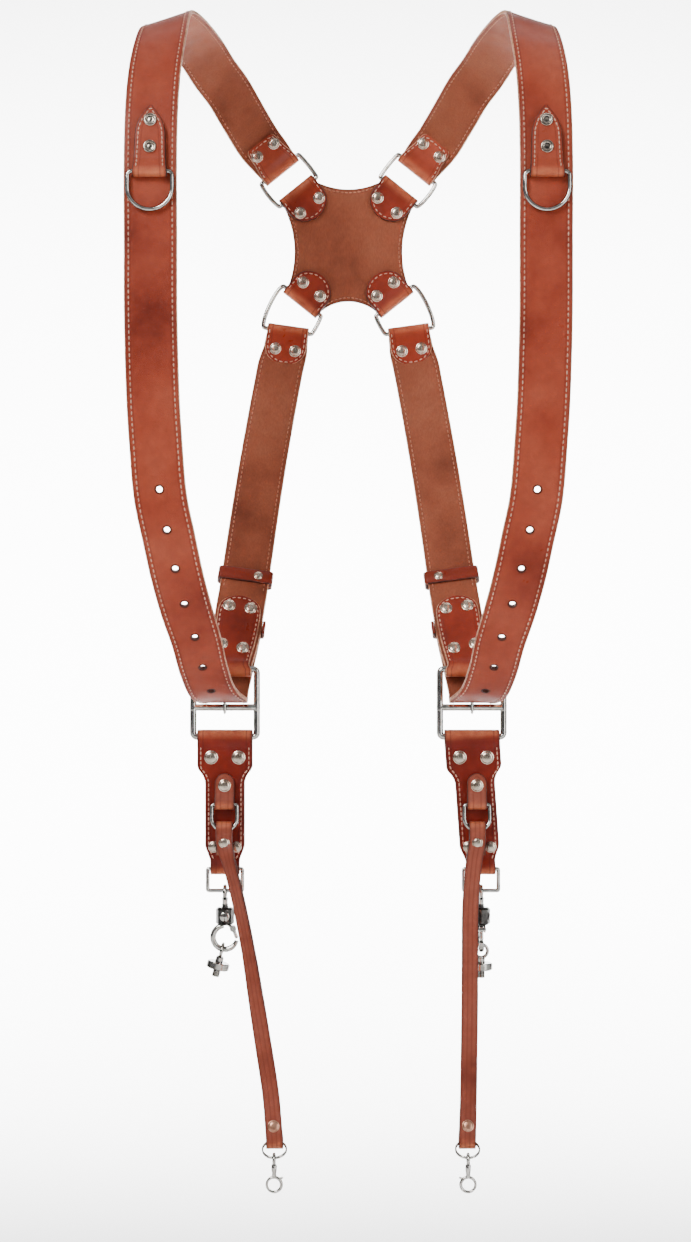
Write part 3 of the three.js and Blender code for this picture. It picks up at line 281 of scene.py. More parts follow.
def round_tab(length, width, rows=(0, 0.14, 0.36), roundness=1.0):
    """How far up and how wide a tab with a round end is, as shares of its length and width."""
    start = 1 - roundness * width / 2 / length
    shape = [(share, 1) for share in rows if share < start] + [(start, 1)]
    for angle in (25, 45, 62, 75, 85):
        shape.append((mix(start, 1, sin(radians(angle))), cos(radians(angle))))
    return shape


SQUARE_TAB = [(0, 1.42), (0.12, 1.4), (0.3, 1.33), (0.55, 1.22), (0.93, 1.13), (1, 0.98)]


# Places of the yoke's bars
YOKE_CENTRE = vec(0, YOKE_REACH, -YOKE_DROP)
ARM_COS, ARM_SIN = cos(radians(YOKE_ARM_ANGLE)), sin(radians(YOKE_ARM_ANGLE))
UPPER_ARM = {
    "bar": YOKE_CENTRE + vec(-UPPER_ARM_OUT, 0, UPPER_ARM_UP),
    "outward": vec(-ARM_COS, 0, ARM_SIN),
    "bank": 90 - YOKE_ARM_ANGLE,
}
LOWER_ARM = {
    "bar": YOKE_CENTRE + vec(-LOWER_ARM_OUT, 0, -LOWER_ARM_DOWN),
    "outward": vec(-ARM_COS, 0, -ARM_SIN),
    "bank": YOKE_ARM_ANGLE - 90,
}
UPPER_STRAP_BAR = UPPER_ARM["bar"] + UPPER_ARM["outward"] * UPPER_RING_SPAN
LOWER_STRAP_BAR = LOWER_ARM["bar"] + LOWER_RING_SPAN * vec(
    -sin(radians(LOWER_RING_LEAN)), 0, -cos(radians(LOWER_RING_LEAN)))
BACK_STRAP_DOWN = vec(-sin(radians(LOWER_FOLD_TURN)), 0, -cos(radians(LOWER_FOLD_TURN)))
HEEL_BAR = vec(-HIP_HALF, HIP_REACH, -HIP_DROP)
BACK_STRAP_FOOT = HEEL_BAR + vec(2.4, 0, 0)

# Back strap: shares of the way from the heel bar to the yoke's ring, inward, back and up, and bank
BACK_STRAP = [
    (0, 0.03, 0.0195, 0), (0.1, 0.124, 0.081, -4), (0.175, 0.232, 0.164, -7),
    (0.254, 0.347, 0.251, -9), (0.393, 0.57, 0.428, -10), (0.552, 0.76, 0.608, -10),
    (0.742, 0.909, 0.791, -9.5), (0.87, 0.966, 0.9, -9),
]


def back_plane_frames():
    rows = [row(BACK_STRAP_FOOT, X_AXIS, 1)]
    for inward, back, up, bank in BACK_STRAP:
        share = np.array([inward, back, up])
        rows.append(row(mix(BACK_STRAP_FOOT, LOWER_STRAP_BAR, share), banked(bank), 1))
    rows.append(row(LOWER_STRAP_BAR, banked(-LOWER_FOLD_TURN), 1))
    return frames_of(rows, 2.0)


BACK_PLANE = back_plane_frames()


def behind_back_strap(distance, offset=0.0):
    """A place behind the back strap, at a distance from its heel, with its directions."""
    spot = frame_at(BACK_PLANE, distance)
    across, behind = unit(spot["across"]), -unit(spot["out"])
    return spot["at"] + behind * offset, unit(np.cross(across, behind)), across, behind


def back_strap_frames():
    """From the heel's tab, round the hip frame, up the back and round the lower yoke ring."""
    half = STRAP_WIDTH / 2
    heel_reach, upper_reach = 24, 26
    heel_fold = fold_rows(
        behind_back_strap, FRAME_WIRE, STRAP_THICK, heel_reach,
        lambda distance: mix(HEEL_FOLD_WIDTH / 2, half, distance / heel_reach),
        round_tab(HEEL_TAB_LENGTH, HEEL_TAB_WIDTH, (0, 0.06, 0.16, 0.5), 0.72),
        HEEL_TAB_LENGTH, HEEL_TAB_WIDTH)
    upper_fold = fold_rows(
        flat_plane(LOWER_STRAP_BAR, BACK_STRAP_DOWN, banked(-LOWER_FOLD_TURN), Y_AXIS),
        YOKE_WIRE, STRAP_THICK, upper_reach,
        lambda distance: mix(RING_FOLD_WIDTH / 2, half, distance / upper_reach),
        round_tab(BACK_TAB_LENGTH, RING_FOLD_WIDTH, roundness=0.8), BACK_TAB_LENGTH, RING_FOLD_WIDTH)
    layer = (STRAP_THICK + GAP) / 2
    middle = []
    for spot in BACK_PLANE[::6]:
        from_ends = (np.linalg.norm(spot["at"] - end) for end in (BACK_STRAP_FOOT, LOWER_STRAP_BAR))
        if min(from_ends) > upper_reach:
            middle.append(row(spot["at"] - spot["out"] * layer, spot["across"], half))
    return frames_of(heel_fold[::-1] + middle + upper_fold, 2.4)


# Shoulder strap: from the crest forward to the chest, as shares: out, fore, down, and bank
OVER_SHOULDER = [
    (1, 1, 1, 0), (1.05, 0.978, 0.709, 0), (1, 0.9, 0.48, 2), (0.8, 0.756, 0.303, 5),
    (0.4, 0.544, 0.152, 10), (0.15, 0.289, 0.048, 16), (0, 0, 0, 20),
]
# From the crest back to the yoke's upper ring: inward, back, down, and bank
DOWN_THE_BACK = [
    (0.091, 0.144, -0.002, 22), (0.242, 0.444, 0.063, 24), (0.353, 0.608, 0.184, 28),
    (0.49, 0.745, 0.324, 31), (0.604, 0.843, 0.489, 33.5),
]
# From the hip up to the chest: inward, back, down, and bank
TO_THE_HIP = [
    (0.838, 0.788, 1.035, 6), (0.72, 0.596, 1, 7), (0.629, 0.437, 0.955, 8), (0.489, 0.307, 0.906, 7),
    (0.37, 0.184, 0.856, 6), (0.26, 0.102, 0.801, 5), (0.145, 0.041, 0.743, 3), (0.077, 0.008, 0.661, 1),
    (0.04, 0, 0.602, 0), (0.005, -0.004, 0.482, 0),
]
BEND_ANGLES = (-18, -42, -66, -90, -113)
WAIST_AT_BUCKLE = 0.93
TAIL_END = ((0, 0.12), (2, 0.3), (5, 0.5), (9, 0.7), (13, 0.86), (18, 0.96), (24, 1))

PRONG_Y = -(CROSS_BAR_WIRE + GAP + PRONG_WIRE)
BEND_CENTRE = HEEL_BAR + vec(0, PRONG_Y, 0)
BEND_CENTRE[2] = -HIP_DROP - CROSS_BAR_BELOW + CROSS_BAR_WIRE + GAP + STRAP_THICK / 2 + BEND_RADIUS + LOOSE


def shoulder_strap_frames():
    """From the tail, under the cross bar, up the chest, over the shoulder and round the upper ring."""
    half = STRAP_WIDTH / 2
    tail_offset = (STRAP_THICK + GAP) * 1.5
    rows = []

    def tail_row(distance, wide):
        at, _, across, _ = behind_back_strap(distance, tail_offset)
        rows.append(row(at, across, half * wide))

    for back, wide in TAIL_END:
        tail_row(TAIL_LENGTH - back, wide)
    tail_foot = LOWER_KEEPER_AT - KEEPER_HEIGHT * 0.7
    for number in range(1, 7):
        tail_row(mix(TAIL_LENGTH - TAIL_END[-1][0], tail_foot, number / 6), 1)
    prong_row = len(rows) + 3
    for angle in BEND_ANGLES:
        arm = vec(0, cos(radians(angle)), sin(radians(angle))) * BEND_RADIUS
        rows.append(row(BEND_CENTRE + arm, X_AXIS, half * WAIST_AT_BUCKLE))
    for inward, back, down, bank in TO_THE_HIP:
        at = vec(-mix(CHEST_HALF, HIP_HALF, inward), mix(-CHEST_REACH, HIP_REACH, back), -down * HIP_DROP)
        pulled_in = mix(1, WAIST_AT_BUCKLE, smoothstep(inward, 0.4, 0.9))
        rows.append(row(at, banked(bank), half * pulled_in))
    crest = STRAP_THICK / 2
    for out, fore, down, bank in OVER_SHOULDER:
        beside, height = mix(SHOULDER_HALF, CHEST_HALF, out), crest - down * (CHEST_DROP + crest)
        rows.append(row(vec(-beside, -fore * CHEST_REACH, height), banked(bank), half))
    for inward, back, down, bank in DOWN_THE_BACK:
        share = np.array([inward, back, down])
        rows.append(row(mix(vec(-SHOULDER_HALF, 0, crest), UPPER_STRAP_BAR, share), banked(bank), half))
    rows += fold_rows(
        flat_plane(UPPER_STRAP_BAR, UPPER_ARM["outward"], banked(UPPER_ARM["bank"]), Y_AXIS),
        YOKE_WIRE, STRAP_THICK, 44,
        lambda distance: mix(RING_FOLD_WIDTH / 2, half, min(distance / 22, 1)),
        SQUARE_TAB, SHOULDER_TAB_LENGTH, SHOULDER_TAB_WIDTH)
    return frames_of(rows, 3.0), prong_row


SHOULDER_FRAMES, PRONG_ROW = shoulder_strap_frames()
PRONG_AT = distance_of_row(SHOULDER_FRAMES, PRONG_ROW)
BACK_FRAMES = back_strap_frames()


def chest_start():
    """How far along the shoulder strap the chest ring's bar lies."""
    reach = distances(SHOULDER_FRAMES)
    for index, spot in enumerate(SHOULDER_FRAMES):
        if reach[index] > PRONG_AT and spot["at"][2] > -CHEST_RING_DROP:
            before = SHOULDER_FRAMES[index - 1]["at"]
            share = (-CHEST_RING_DROP - before[2]) / (spot["at"][2] - before[2])
            return mix(reach[index - 1], reach[index], share)


CHEST_START = chest_start()
FIRST_HOLE_AT = PRONG_AT - HOLES_IN_TAIL * HOLE_PITCH
CHEST_RING_Y = STRAP_THICK / 2 + CHEST_LOOSE + THIN_LEATHER + GAP + CHEST_WIRE


def straightened(stops):
    """Frames whose directions follow their neighbours."""
    frames = []
    for index, stop in enumerate(stops):
        before, after = stops[max(index - 1, 0)]["at"], stops[min(index + 1, len(stops) - 1)]["at"]
        along = unit(after - before)
        across = unit(stop["across"] - stop["across"].dot(along) * along)
        out = np.cross(across, along)
        frames.append({**stop, "across": across, "along": along, "out": out, "row": index})
    return frames


# Chest tab: how far up and how wide, as shares of its length and its fold's width
CHEST_TAB = [
    (0, 1), (0.1, 0.95), (0.24, 0.92), (0.46, 0.9), (0.64, 0.86), (0.78, 0.68), (0.91, 0.34), (1, 0.06),
]


def chest_tab_frames():
    """Up behind the ring's bar on the strap, round the bar and up again in front."""
    layer = THIN_LEATHER / 2
    turn = CHEST_WIRE + GAP + layer
    back = STRAP_THICK / 2 + CHEST_LOOSE + layer

    def front(distance):
        return mix(back + turn * 2, back + THIN_LEATHER + GAP, smoothstep(distance, 0, turn * 3.4))

    def point(distance, offset, half):
        spot = frame_at(SHOULDER_FRAMES, CHEST_START + max(distance, 0))
        along = np.cross(spot["out"], spot["across"])
        at = spot["at"] + spot["out"] * offset + along * min(distance, 0)
        return row(at, spot["across"], half)

    fine = np.linspace(0, 1, 33)
    ups, wides = zip(*CHEST_TAB)
    half_at = [float(np.interp(share, ups, wides)) for share in fine]
    half_at = np.convolve(np.pad(half_at, 1, "edge"), (0.25, 0.5, 0.25), "valid")
    stops = []
    for share, wide in list(zip(fine, half_at))[::-1]:
        stops.append(point(share * CHEST_TAB_LENGTH, back, wide * CHEST_FOLD_WIDTH / 2))
    for angle in range(15, 180, 15):
        offset = back + turn - turn * cos(radians(angle))
        stops.append(point(-turn * sin(radians(angle)), offset, CHEST_FOLD_WIDTH / 2))
    for share, wide in zip(fine, half_at):
        distance = share * CHEST_TAB_LENGTH
        stops.append(point(distance, front(distance), wide * CHEST_FOLD_WIDTH / 2))
    return straightened(stops)


# Materials. Places across the leather are millimetres from its edge; reliefs are in metres
# The first pair: how far in from the edge the leather darkens, for a burnished finish and for painted shade
# where the face rolls into the edge; the second: how far round a hole its painted shade reaches
BURNISH_AND_EDGE_SHADE, HOLE_SHADE = (0.4, 2.4), (0.5, 1.7)
CREASE_AT, CREASE_REACH = 4.6, (0.1, 0.8)
GROOVE_AT, GROOVE_HALF, GROOVE_DEPTH = 1.9, 0.45, 1.6
GRAIN_SCALE, CREASE_SCALE, CREASE_DEPTH = 900.0, 90.0, 0.4
GRAIN_RELIEF, FIBRE_RELIEF, TWIST_RELIEF, SCRATCH_RELIEF = 0.00022, 0.0003, 0.0002, 0.00005


def colour(red, green, blue):
    """A colour given as it looks on a screen, 0 to 255."""
    linear = [((c / 255 + 0.055) / 1.055) ** 2.4 if c > 10 else c / 255 / 12.92 for c in (red, green, blue)]
    return (*linear, 1)


class Shader:
    """A material's node tree, with short ways to add and join nodes."""

    def __init__(self, name):
        self.material = bpy.data.materials.new(name)
        self.material.use_nodes = True
        self.tree = self.material.node_tree
        self.shader = next(n for n in self.tree.nodes if n.type == "BSDF_PRINCIPLED")
        self.coords = self.node("ShaderNodeTexCoord")

    def node(self, kind, **settings):
        made = self.tree.nodes.new(kind)
        for key, value in settings.items():
            setattr(made, key, value)
        return made

    def join(self, out, into):
        self.tree.links.new(out, into)

    def set(self, **values):
        for key, value in values.items():
            self.shader.inputs[key.replace("_", " ")].default_value = value

    def noise(self, scale, detail=4.0, roughness=0.55, source=None, stretch=None):
        made = self.node("ShaderNodeTexNoise")
        made.inputs["Scale"].default_value = scale
        made.inputs["Detail"].default_value = detail
        made.inputs["Roughness"].default_value = roughness
        self.join(self.mapped(source, stretch), made.inputs["Vector"])
        return made.outputs["Fac"]

    def mapped(self, source, stretch):
        source = source or self.coords.outputs["Object"]
        if not stretch:
            return source
        made = self.node("ShaderNodeMapping")
        made.inputs["Scale"].default_value = stretch
        self.join(source, made.inputs["Vector"])
        return made.outputs["Vector"]

    def ramp(self, factor, stops):
        made = self.node("ShaderNodeValToRGB")
        bands = made.color_ramp.elements
        while len(bands) < len(stops):
            bands.new(0.5)
        for band, (place, shade) in zip(bands, stops):
            band.position = place
            band.color = shade
        self.join(factor, made.inputs["Fac"])
        return made.outputs["Color"]

    def range(self, value, low, high, to_low=0.0, to_high=1.0):
        made = self.node("ShaderNodeMapRange")
        for key, number in (("From Min", low), ("From Max", high), ("To Min", to_low), ("To Max", to_high)):
            made.inputs[key].default_value = number
        self.join(value, made.inputs["Value"])
        return made.outputs["Result"]

    def blend(self, factor, first, second, mode="MIX"):
        made = self.node("ShaderNodeMix", data_type="RGBA", blend_type=mode)
        for socket, value in zip((made.inputs[0], made.inputs[6], made.inputs[7]), (factor, first, second)):
            if isinstance(value, (float, tuple)):
                socket.default_value = value
            else:
                self.join(value, socket)
        return made.outputs[2]

    def maths(self, operation, first, second=0.0):
        made = self.node("ShaderNodeMath", operation=operation)
        for socket, value in zip(made.inputs, (first, second)):
            if isinstance(value, (int, float)):
                socket.default_value = value
            else:
                self.join(value, socket)
        return made.outputs[0]

    def bump(self, height, strength, distance):
        made = self.node("ShaderNodeBump")
        made.inputs["Strength"].default_value = strength
        made.inputs["Distance"].default_value = distance
        self.join(height, made.inputs["Height"])
        self.join(made.outputs["Normal"], self.shader.inputs["Normal"])

    def map_axis(self, name, axis):
        """One axis of a map that the leather's mesh carries."""
        uv = self.node("ShaderNodeUVMap", uv_map=name)
        split = self.node("ShaderNodeSeparateXYZ")
        self.join(uv.outputs["UV"], split.inputs["Vector"])
        return split.outputs[axis]

    def map_millimetres(self, name, axis):
        return self.maths("MULTIPLY", self.map_axis(name, axis), 1 / MM)

    def edge_distance(self):
        """Millimetres from the nearest long edge."""
        return self.map_millimetres("edge", "Y")

    def bend(self):
        """How sharply the leather is bent here, 0 to 1."""
        return self.map_axis("edge", "X")

    def finish(self, base, height, strength, depth, rough, **values):
        """Joins the colour, the relief and the roughness, and sets the shader's plain values."""
        self.join(base, self.shader.inputs["Base Color"])
        self.bump(height, strength, depth)
        self.join(rough, self.shader.inputs["Roughness"])
        self.set(**values)
        return self.material

    def group(self, tree, **values):
        made = self.node("ShaderNodeGroup")
        made.node_tree = tree
        for key, value in values.items():
            socket = made.inputs[key.replace("_", " ")]
            if isinstance(value, (int, float)):
                socket.default_value = value
            else:
                self.join(value, socket)
        return made


def new_tree(name, kind, inputs, outputs):
    tree = bpy.data.node_groups.new(name, kind)
    for side, sockets in (("INPUT", inputs), ("OUTPUT", outputs)):
        for label, socket_kind in sockets:
            tree.interface.new_socket(label, in_out=side, socket_type=f"NodeSocket{socket_kind}")
    return tree


def fill_tree(tree, kinds, properties, values, joins):
    """Adds a tree's nodes by name, sets them and joins their sockets, written as node.socket."""
    nodes = {"source": tree.nodes.new("NodeGroupInput"), "sink": tree.nodes.new("NodeGroupOutput")}
    for name, kind in kinds.items():
        nodes[name] = tree.nodes.new(kind)
    for place, value in properties.items():
        name, label = place.split(".")
        setattr(nodes[name], label, value)

    def socket(place, side):
        name, label = place.split(".")
        return getattr(nodes[name], side)[int(label) if label.isdigit() else label]

    for place, value in values.items():
        socket(place, "inputs").default_value = value
    for out, into in joins:
        tree.links.new(socket(out, "outputs"), socket(into, "inputs"))
    return tree


def leather_grain_group():
    """Fine pebbled grain with small creases: a height, and a mask of its valleys."""
    tree = new_tree("leather grain", "ShaderNodeTree", [
        ("Vector", "Vector"), ("Grain Scale", "Float"), ("Crease Scale", "Float"), ("Crease Depth", "Float"),
    ], [("Height", "Float"), ("Valleys", "Float")])
    return fill_tree(tree, {
        "cells": "ShaderNodeTexVoronoi", "creases": "ShaderNodeTexNoise", "valley": "ShaderNodeMapRange",
        "depth": "ShaderNodeMath", "total": "ShaderNodeMath",
    }, {
        "cells.feature": "DISTANCE_TO_EDGE", "depth.operation": "MULTIPLY", "total.operation": "ADD",
    }, {
        "cells.Randomness": 1, "creases.Detail": 5, "creases.Distortion": 0.6, "valley.From Max": 0.12,
    }, [
        ("source.Vector", "cells.Vector"), ("source.Vector", "creases.Vector"),
        ("source.Grain Scale", "cells.Scale"), ("source.Crease Scale", "creases.Scale"),
        ("cells.Distance", "valley.Value"), ("creases.Fac", "depth.0"), ("source.Crease Depth", "depth.1"),
        ("valley.Result", "total.0"), ("depth.0", "total.1"),
        ("total.0", "sink.Height"), ("valley.Result", "sink.Valleys"),
    ])


GRAIN = leather_grain_group()


def hole_rims(s, base, shade):
    """Painted shade on the rims round the punched holes, from the strap's own length and width."""
    along = s.maths("SUBTRACT", s.map_millimetres("UVMap", "X"), FIRST_HOLE_AT)
    across = s.map_millimetres("UVMap", "Y")
    number = s.maths("ROUND", s.maths("DIVIDE", along, HOLE_PITCH))
    number = s.maths("MAXIMUM", s.maths("MINIMUM", number, HOLES_IN_TAIL + HOLES_ABOVE_PRONG), 0.0)
    beside = s.maths("SUBTRACT", along, s.maths("MULTIPLY", number, HOLE_PITCH))
    squares = s.maths("ADD", s.maths("MULTIPLY", beside, beside), s.maths("MULTIPLY", across, across))
    near, far = HOLE_SHADE
    rim = s.range(s.maths("SQRT", squares), HOLE_CUT + near, HOLE_CUT + far, 0.92, 0.0)
    return s.blend(rim, base, shade)


def grain_leather(name, dark, middle, light, holes=False):
    """Glossy pull-up leather: cloudy colour, paler folds (the leather's own pull-up paling and a painted
    highlight), darker edges (a burnished finish and painted shade), painted shade in the grain's valleys and
    round the holes, and a line beside the stitches.
    """
    s = Shader(name)
    clouds = s.noise(16, 4, 0.5)
    base = s.ramp(clouds, [(0.22, dark), (0.48, middle), (0.78, light)])
    mottle = s.range(s.noise(160, 6, 0.65), 0.3, 0.7, 0.9, 1.08)
    base = s.blend(1.0, base, mottle, "MULTIPLY")
    # Paler where the leather bends: the pull-up leather's own paling, and a painted highlight on the folds
    pull_up_and_fold_highlight = s.maths("MULTIPLY", s.bend(), s.range(s.noise(110, 4), 0.3, 0.7, 0.35, 0.85))
    base = s.blend(pull_up_and_fold_highlight, base, PULL_UP_AND_FOLD_HIGHLIGHT)
    edge = s.edge_distance()
    # Darker towards the long edges: a burnished finish, and painted shade where the face rolls into the edge
    base = s.blend(s.range(edge, *BURNISH_AND_EDGE_SHADE, 0.75, 0.0), base, dark)
    channel = s.range(s.maths("ABSOLUTE", s.maths("SUBTRACT", edge, CREASE_AT)), *CREASE_REACH, 0.4, 0.0)
    base = s.blend(channel, base, dark)
    grain = s.group(
        GRAIN, Vector=s.coords.outputs["Object"],
        Grain_Scale=GRAIN_SCALE, Crease_Scale=CREASE_SCALE, Crease_Depth=CREASE_DEPTH)
    # Painted shade in the grain's valleys
    base = s.blend(s.range(grain.outputs["Valleys"], 0, 1, 0.16, 0.0), base, dark)
    # Painted shade round the punched holes
    if holes:
        base = hole_rims(s, base, HOLE_RIM_SHADE)
    beside = s.maths("ABSOLUTE", s.maths("SUBTRACT", edge, GROOVE_AT))
    groove = s.range(beside, 0.0, GROOVE_HALF, -GROOVE_DEPTH, 0.0)
    height = s.maths("ADD", grain.outputs["Height"], groove)
    rough = s.range(s.noise(70, 5), 0.25, 0.75, 0.26, 0.4)
    return s.finish(base, height, 0.35, GRAIN_RELIEF, rough,
                    Coat_Weight=0.04, Coat_Roughness=0.12, Specular_IOR_Level=0.2)


def inner_leather(name, dark, middle, light):
    """The matte flesh side, with short fibres."""
    s = Shader(name)
    clouds = s.noise(18, 5, 0.55)
    base = s.ramp(clouds, [(0.24, dark), (0.5, middle), (0.78, light)])
    fibres = s.noise(900, 3, 0.7, stretch=(1, 1, 0.35))
    base = s.blend(1.0, base, s.range(fibres, 0.3, 0.7, 0.85, 1.1), "MULTIPLY")
    # Darker towards the edges: a burnished finish, and painted shade where the face rolls into the edge
    base = s.blend(s.range(s.edge_distance(), *BURNISH_AND_EDGE_SHADE, 0.7, 0.0), base, dark)
    rough = s.range(s.noise(120, 4), 0.3, 0.7, 0.46, 0.68)
    return s.finish(base, fibres, 0.5, FIBRE_RELIEF, rough, Specular_IOR_Level=0.12)


def raw_edge(name, pale, dark):
    """The cut edge of the leather: pale fibres in thin layers, stained here and there."""
    s = Shader(name)
    layers = s.noise(700, 4, 0.7)
    base = s.ramp(layers, [(0.3, dark), (0.55, pale), (0.8, pale)])
    stains = s.range(s.noise(45, 3), 0.45, 0.7, 0.0, 0.7)
    base = s.blend(stains, base, dark)
    return s.finish(base, layers, 0.4, FIBRE_RELIEF, s.range(layers, 0.2, 0.8, 0.45, 0.75))


def thread(name, pale, shade):
    """Waxed thread, twisted, with darker stretches."""
    s = Shader(name)
    twist = s.noise(2600, 2, 0.5)
    base = s.ramp(twist, [(0.3, shade), (0.6, pale)])
    base = s.blend(s.range(s.noise(60, 3), 0.4, 0.75, 0.0, 0.5), base, shade)
    return s.finish(base, twist, 0.5, TWIST_RELIEF, s.range(twist, 0.2, 0.8, 0.5, 0.75))


def plated(name, bright, dull, rough=(0.1, 0.26), outline=(0.14, 0.52), hollow=0.0):
    """Plated metal, with painted shade darkening it towards its outline and, when hollow is above nought,
    across the middle that faces the camera; with faint scratches and a little tarnish.
    """
    s = Shader(name)
    patches = s.noise(140, 5, 0.6)
    base = s.ramp(patches, [(0.35, dull), (0.6, bright)])
    facing = s.node("ShaderNodeLayerWeight").outputs["Facing"]
    # Painted shade: darker towards the outline, where the metal turns away from the camera
    base = s.blend(s.range(facing, *outline, 0.0, 0.94), base, SHADOWED_METAL)
    # Painted shade in a hollow head: darker where the metal faces the camera straight on
    if hollow:
        base = s.blend(s.range(facing, 0.03, 0.16, hollow, 0.0), base, SHADOWED_METAL)
    scratches = s.noise(1500, 3, 0.7, stretch=(1, 1, 0.12))
    roughness = s.range(scratches, 0.3, 0.75, *rough)
    return s.finish(base, scratches, 0.08, SCRATCH_RELIEF, roughness, Metallic=1.0)


# The folds' colour, a painted highlight that is also the pull-up leather's own paling; the painted shade
# round the holes; and the painted shade of metal
PULL_UP_AND_FOLD_HIGHLIGHT, HOLE_RIM_SHADE = colour(222, 124, 84), colour(48, 22, 12)
SHADOWED_METAL = colour(44, 40, 36)
COGNAC_SHADES = colour(112, 34, 17), colour(160, 66, 43), colour(180, 88, 62)
COGNAC = grain_leather("cognac grain", *COGNAC_SHADES)
STRAP_GRAIN = grain_leather("cognac grain with holes", *COGNAC_SHADES, True)
TAB_RED = grain_leather("red brown grain", colour(98, 26, 12), colour(148, 50, 28), colour(164, 62, 36))
HANGER_RED = grain_leather("deep red grain", colour(78, 16, 8), colour(124, 32, 17), colour(144, 44, 25))
TETHER_GRAIN = grain_leather(
    "orange brown grain", colour(108, 44, 30), colour(150, 74, 55), colour(166, 90, 70))
FLESH = inner_leather("flesh side", colour(114, 58, 40), colour(149, 82, 58), colour(162, 96, 70))
RAW = raw_edge("raw edge", colour(222, 156, 122), colour(104, 50, 34))
DARK_EDGE = raw_edge("burnished edge", colour(104, 46, 30), colour(46, 18, 12))
THREAD = thread("waxed thread", colour(246, 200, 176), colour(192, 120, 94))
WORN_THREAD = thread("worn thread", colour(214, 142, 112), colour(158, 88, 64))
NICKEL = plated("polished nickel", colour(240, 236, 228), colour(196, 190, 180), (0.06, 0.18))
RIVET_NICKEL = plated(
    "rivet nickel", colour(246, 230, 210), colour(192, 168, 146), (0.16, 0.32), (0.34, 0.85))
EYELET_NICKEL = plated(
    "hollow rivet nickel", colour(246, 234, 218), colour(200, 182, 164), (0.12, 0.28), (0.5, 0.95), 0.9)
COPPER = plated("worn copper", colour(236, 184, 156), colour(190, 124, 94), (0.25, 0.45), (0.34, 0.85))
DARK_METAL = plated("dark nickel", colour(76, 74, 72), colour(26, 25, 24), (0.2, 0.4))


# Making meshes: faces that meet at less than this many degrees are shaded smooth
METAL_SHARP, HOOK_SHARP, LEATHER_SHARP = 40, 35, 50


def link_piece(name, mesh, body, node=None):
    piece = in_scene(name, mesh)
    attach(piece, body)
    if node:
        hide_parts(node)
    return piece


def leather_piece(node, mesh):
    link_piece(f"{node}_leather", mesh, "harness", node)


def metal_piece(node, parts, hand=1, body="harness"):
    link_piece(f"{node}_metal", handed_mesh(node, parts, hand, [NICKEL]), body, node)


def solid_mesh(name, points, faces, materials, face_materials=None, maps=None, sharp=METAL_SHARP):
    """A closed mesh from points in millimetres, shaded smooth up to an angle."""
    mesh = bpy.data.meshes.new(name)
    mesh.from_pydata([tuple(p * MM) for p in np.asarray(points, float)], [], [tuple(f) for f in faces])
    for material in materials:
        mesh.materials.append(material)
    if face_materials is not None:
        mesh.polygons.foreach_set("material_index", np.asarray(face_materials, dtype=np.int32))
    for label, values in (maps or {}).items():
        layer = mesh.uv_layers.new(name=label)
        corners = np.empty(len(mesh.loops), dtype=np.int32)
        mesh.loops.foreach_get("vertex_index", corners)
        layer.data.foreach_set("uv", np.asarray(values, float)[corners].ravel())
    finish_normals(mesh, sharp)
    return mesh


def finish_normals(mesh, sharp):
    work = bmesh.new()
    work.from_mesh(mesh)
    bmesh.ops.recalc_face_normals(work, faces=work.faces)
    work.to_mesh(mesh)
    work.free()
    mesh.polygons.foreach_set("use_smooth", [True] * len(mesh.polygons))
    mesh.set_sharp_from_angle(angle=radians(sharp))
    mesh.update()


def joined_mesh(name, parts, materials, sharp=METAL_SHARP, material_of=None):
    """One mesh from several closed bodies, each given as points and faces."""
    points, faces, slots = [], [], []
    for index, (spots, loops) in enumerate(parts):
        start = sum(len(p) for p in points)
        points.append(np.asarray(spots, float))
        faces += [[corner + start for corner in loop] for loop in loops]
        slots += [material_of[index] if material_of else 0] * len(loops)
    return solid_mesh(name, np.vstack(points), faces, materials, slots, sharp=sharp)


def handed_mesh(name, parts, hand, materials):
    """One mesh from several closed bodies, mirrored for their side."""
    return joined_mesh(name, [(handed(points, hand), faces) for points, faces in parts], materials)


def tube_faces(rings, sides, closed):
    faces = []
    count = rings if closed else rings - 1
    for ring in range(count):
        after = (ring + 1) % rings
        for side in range(sides):
            turn = (side + 1) % sides
            here, there = ring * sides, after * sides
            faces.append((here + side, here + turn, there + turn, there + side))
    if not closed:
        faces.append(tuple(range(sides))[::-1])
        faces.append(tuple((rings - 1) * sides + side for side in range(sides)))
    return faces


def wire(points, radius, normal, closed=True, sides=16):
    """A round wire along flat points; radius may be one number or one for each point."""
    points = np.asarray(points, float)
    count = len(points)
    radii = np.broadcast_to(np.asarray(radius, float), (count,))
    normal = unit(np.asarray(normal, float))
    spots = []
    for index, point in enumerate(points):
        before = points[index - 1] if closed or index else points[index]
        after = points[(index + 1) % count] if closed or index + 1 < count else points[index]
        side = unit(np.cross(unit(after - before), normal))
        for turn in range(sides):
            angle = 2 * pi * turn / sides
            spots.append(point + radii[index] * (side * cos(angle) + normal * sin(angle)))
    return np.array(spots), tube_faces(count, sides, closed)


def lathe(profile, start, direction, sides=32):
    """A turned body: profile rows hold a radius and a height along the direction from the start."""
    direction = unit(np.asarray(direction, float))
    helper = X_AXIS if abs(direction[0]) < 0.9 else Y_AXIS
    side = unit(np.cross(direction, helper))
    other = np.cross(direction, side)
    spots = []
    for radius, height in profile:
        for turn in range(sides):
            angle = 2 * pi * turn / sides
            arm = side * cos(angle) + other * sin(angle)
            spots.append(np.asarray(start) + direction * height + arm * max(radius, 0.02))
    return np.array(spots), tube_faces(len(profile), sides, False)


def ring_points(centre, radius, side, other, steps):
    """Points round a circle, from one direction towards another."""
    angles = np.linspace(0, 2 * pi, steps + 1)[:-1]
    return [centre + radius * (side * cos(angle) + other * sin(angle)) for angle in angles]


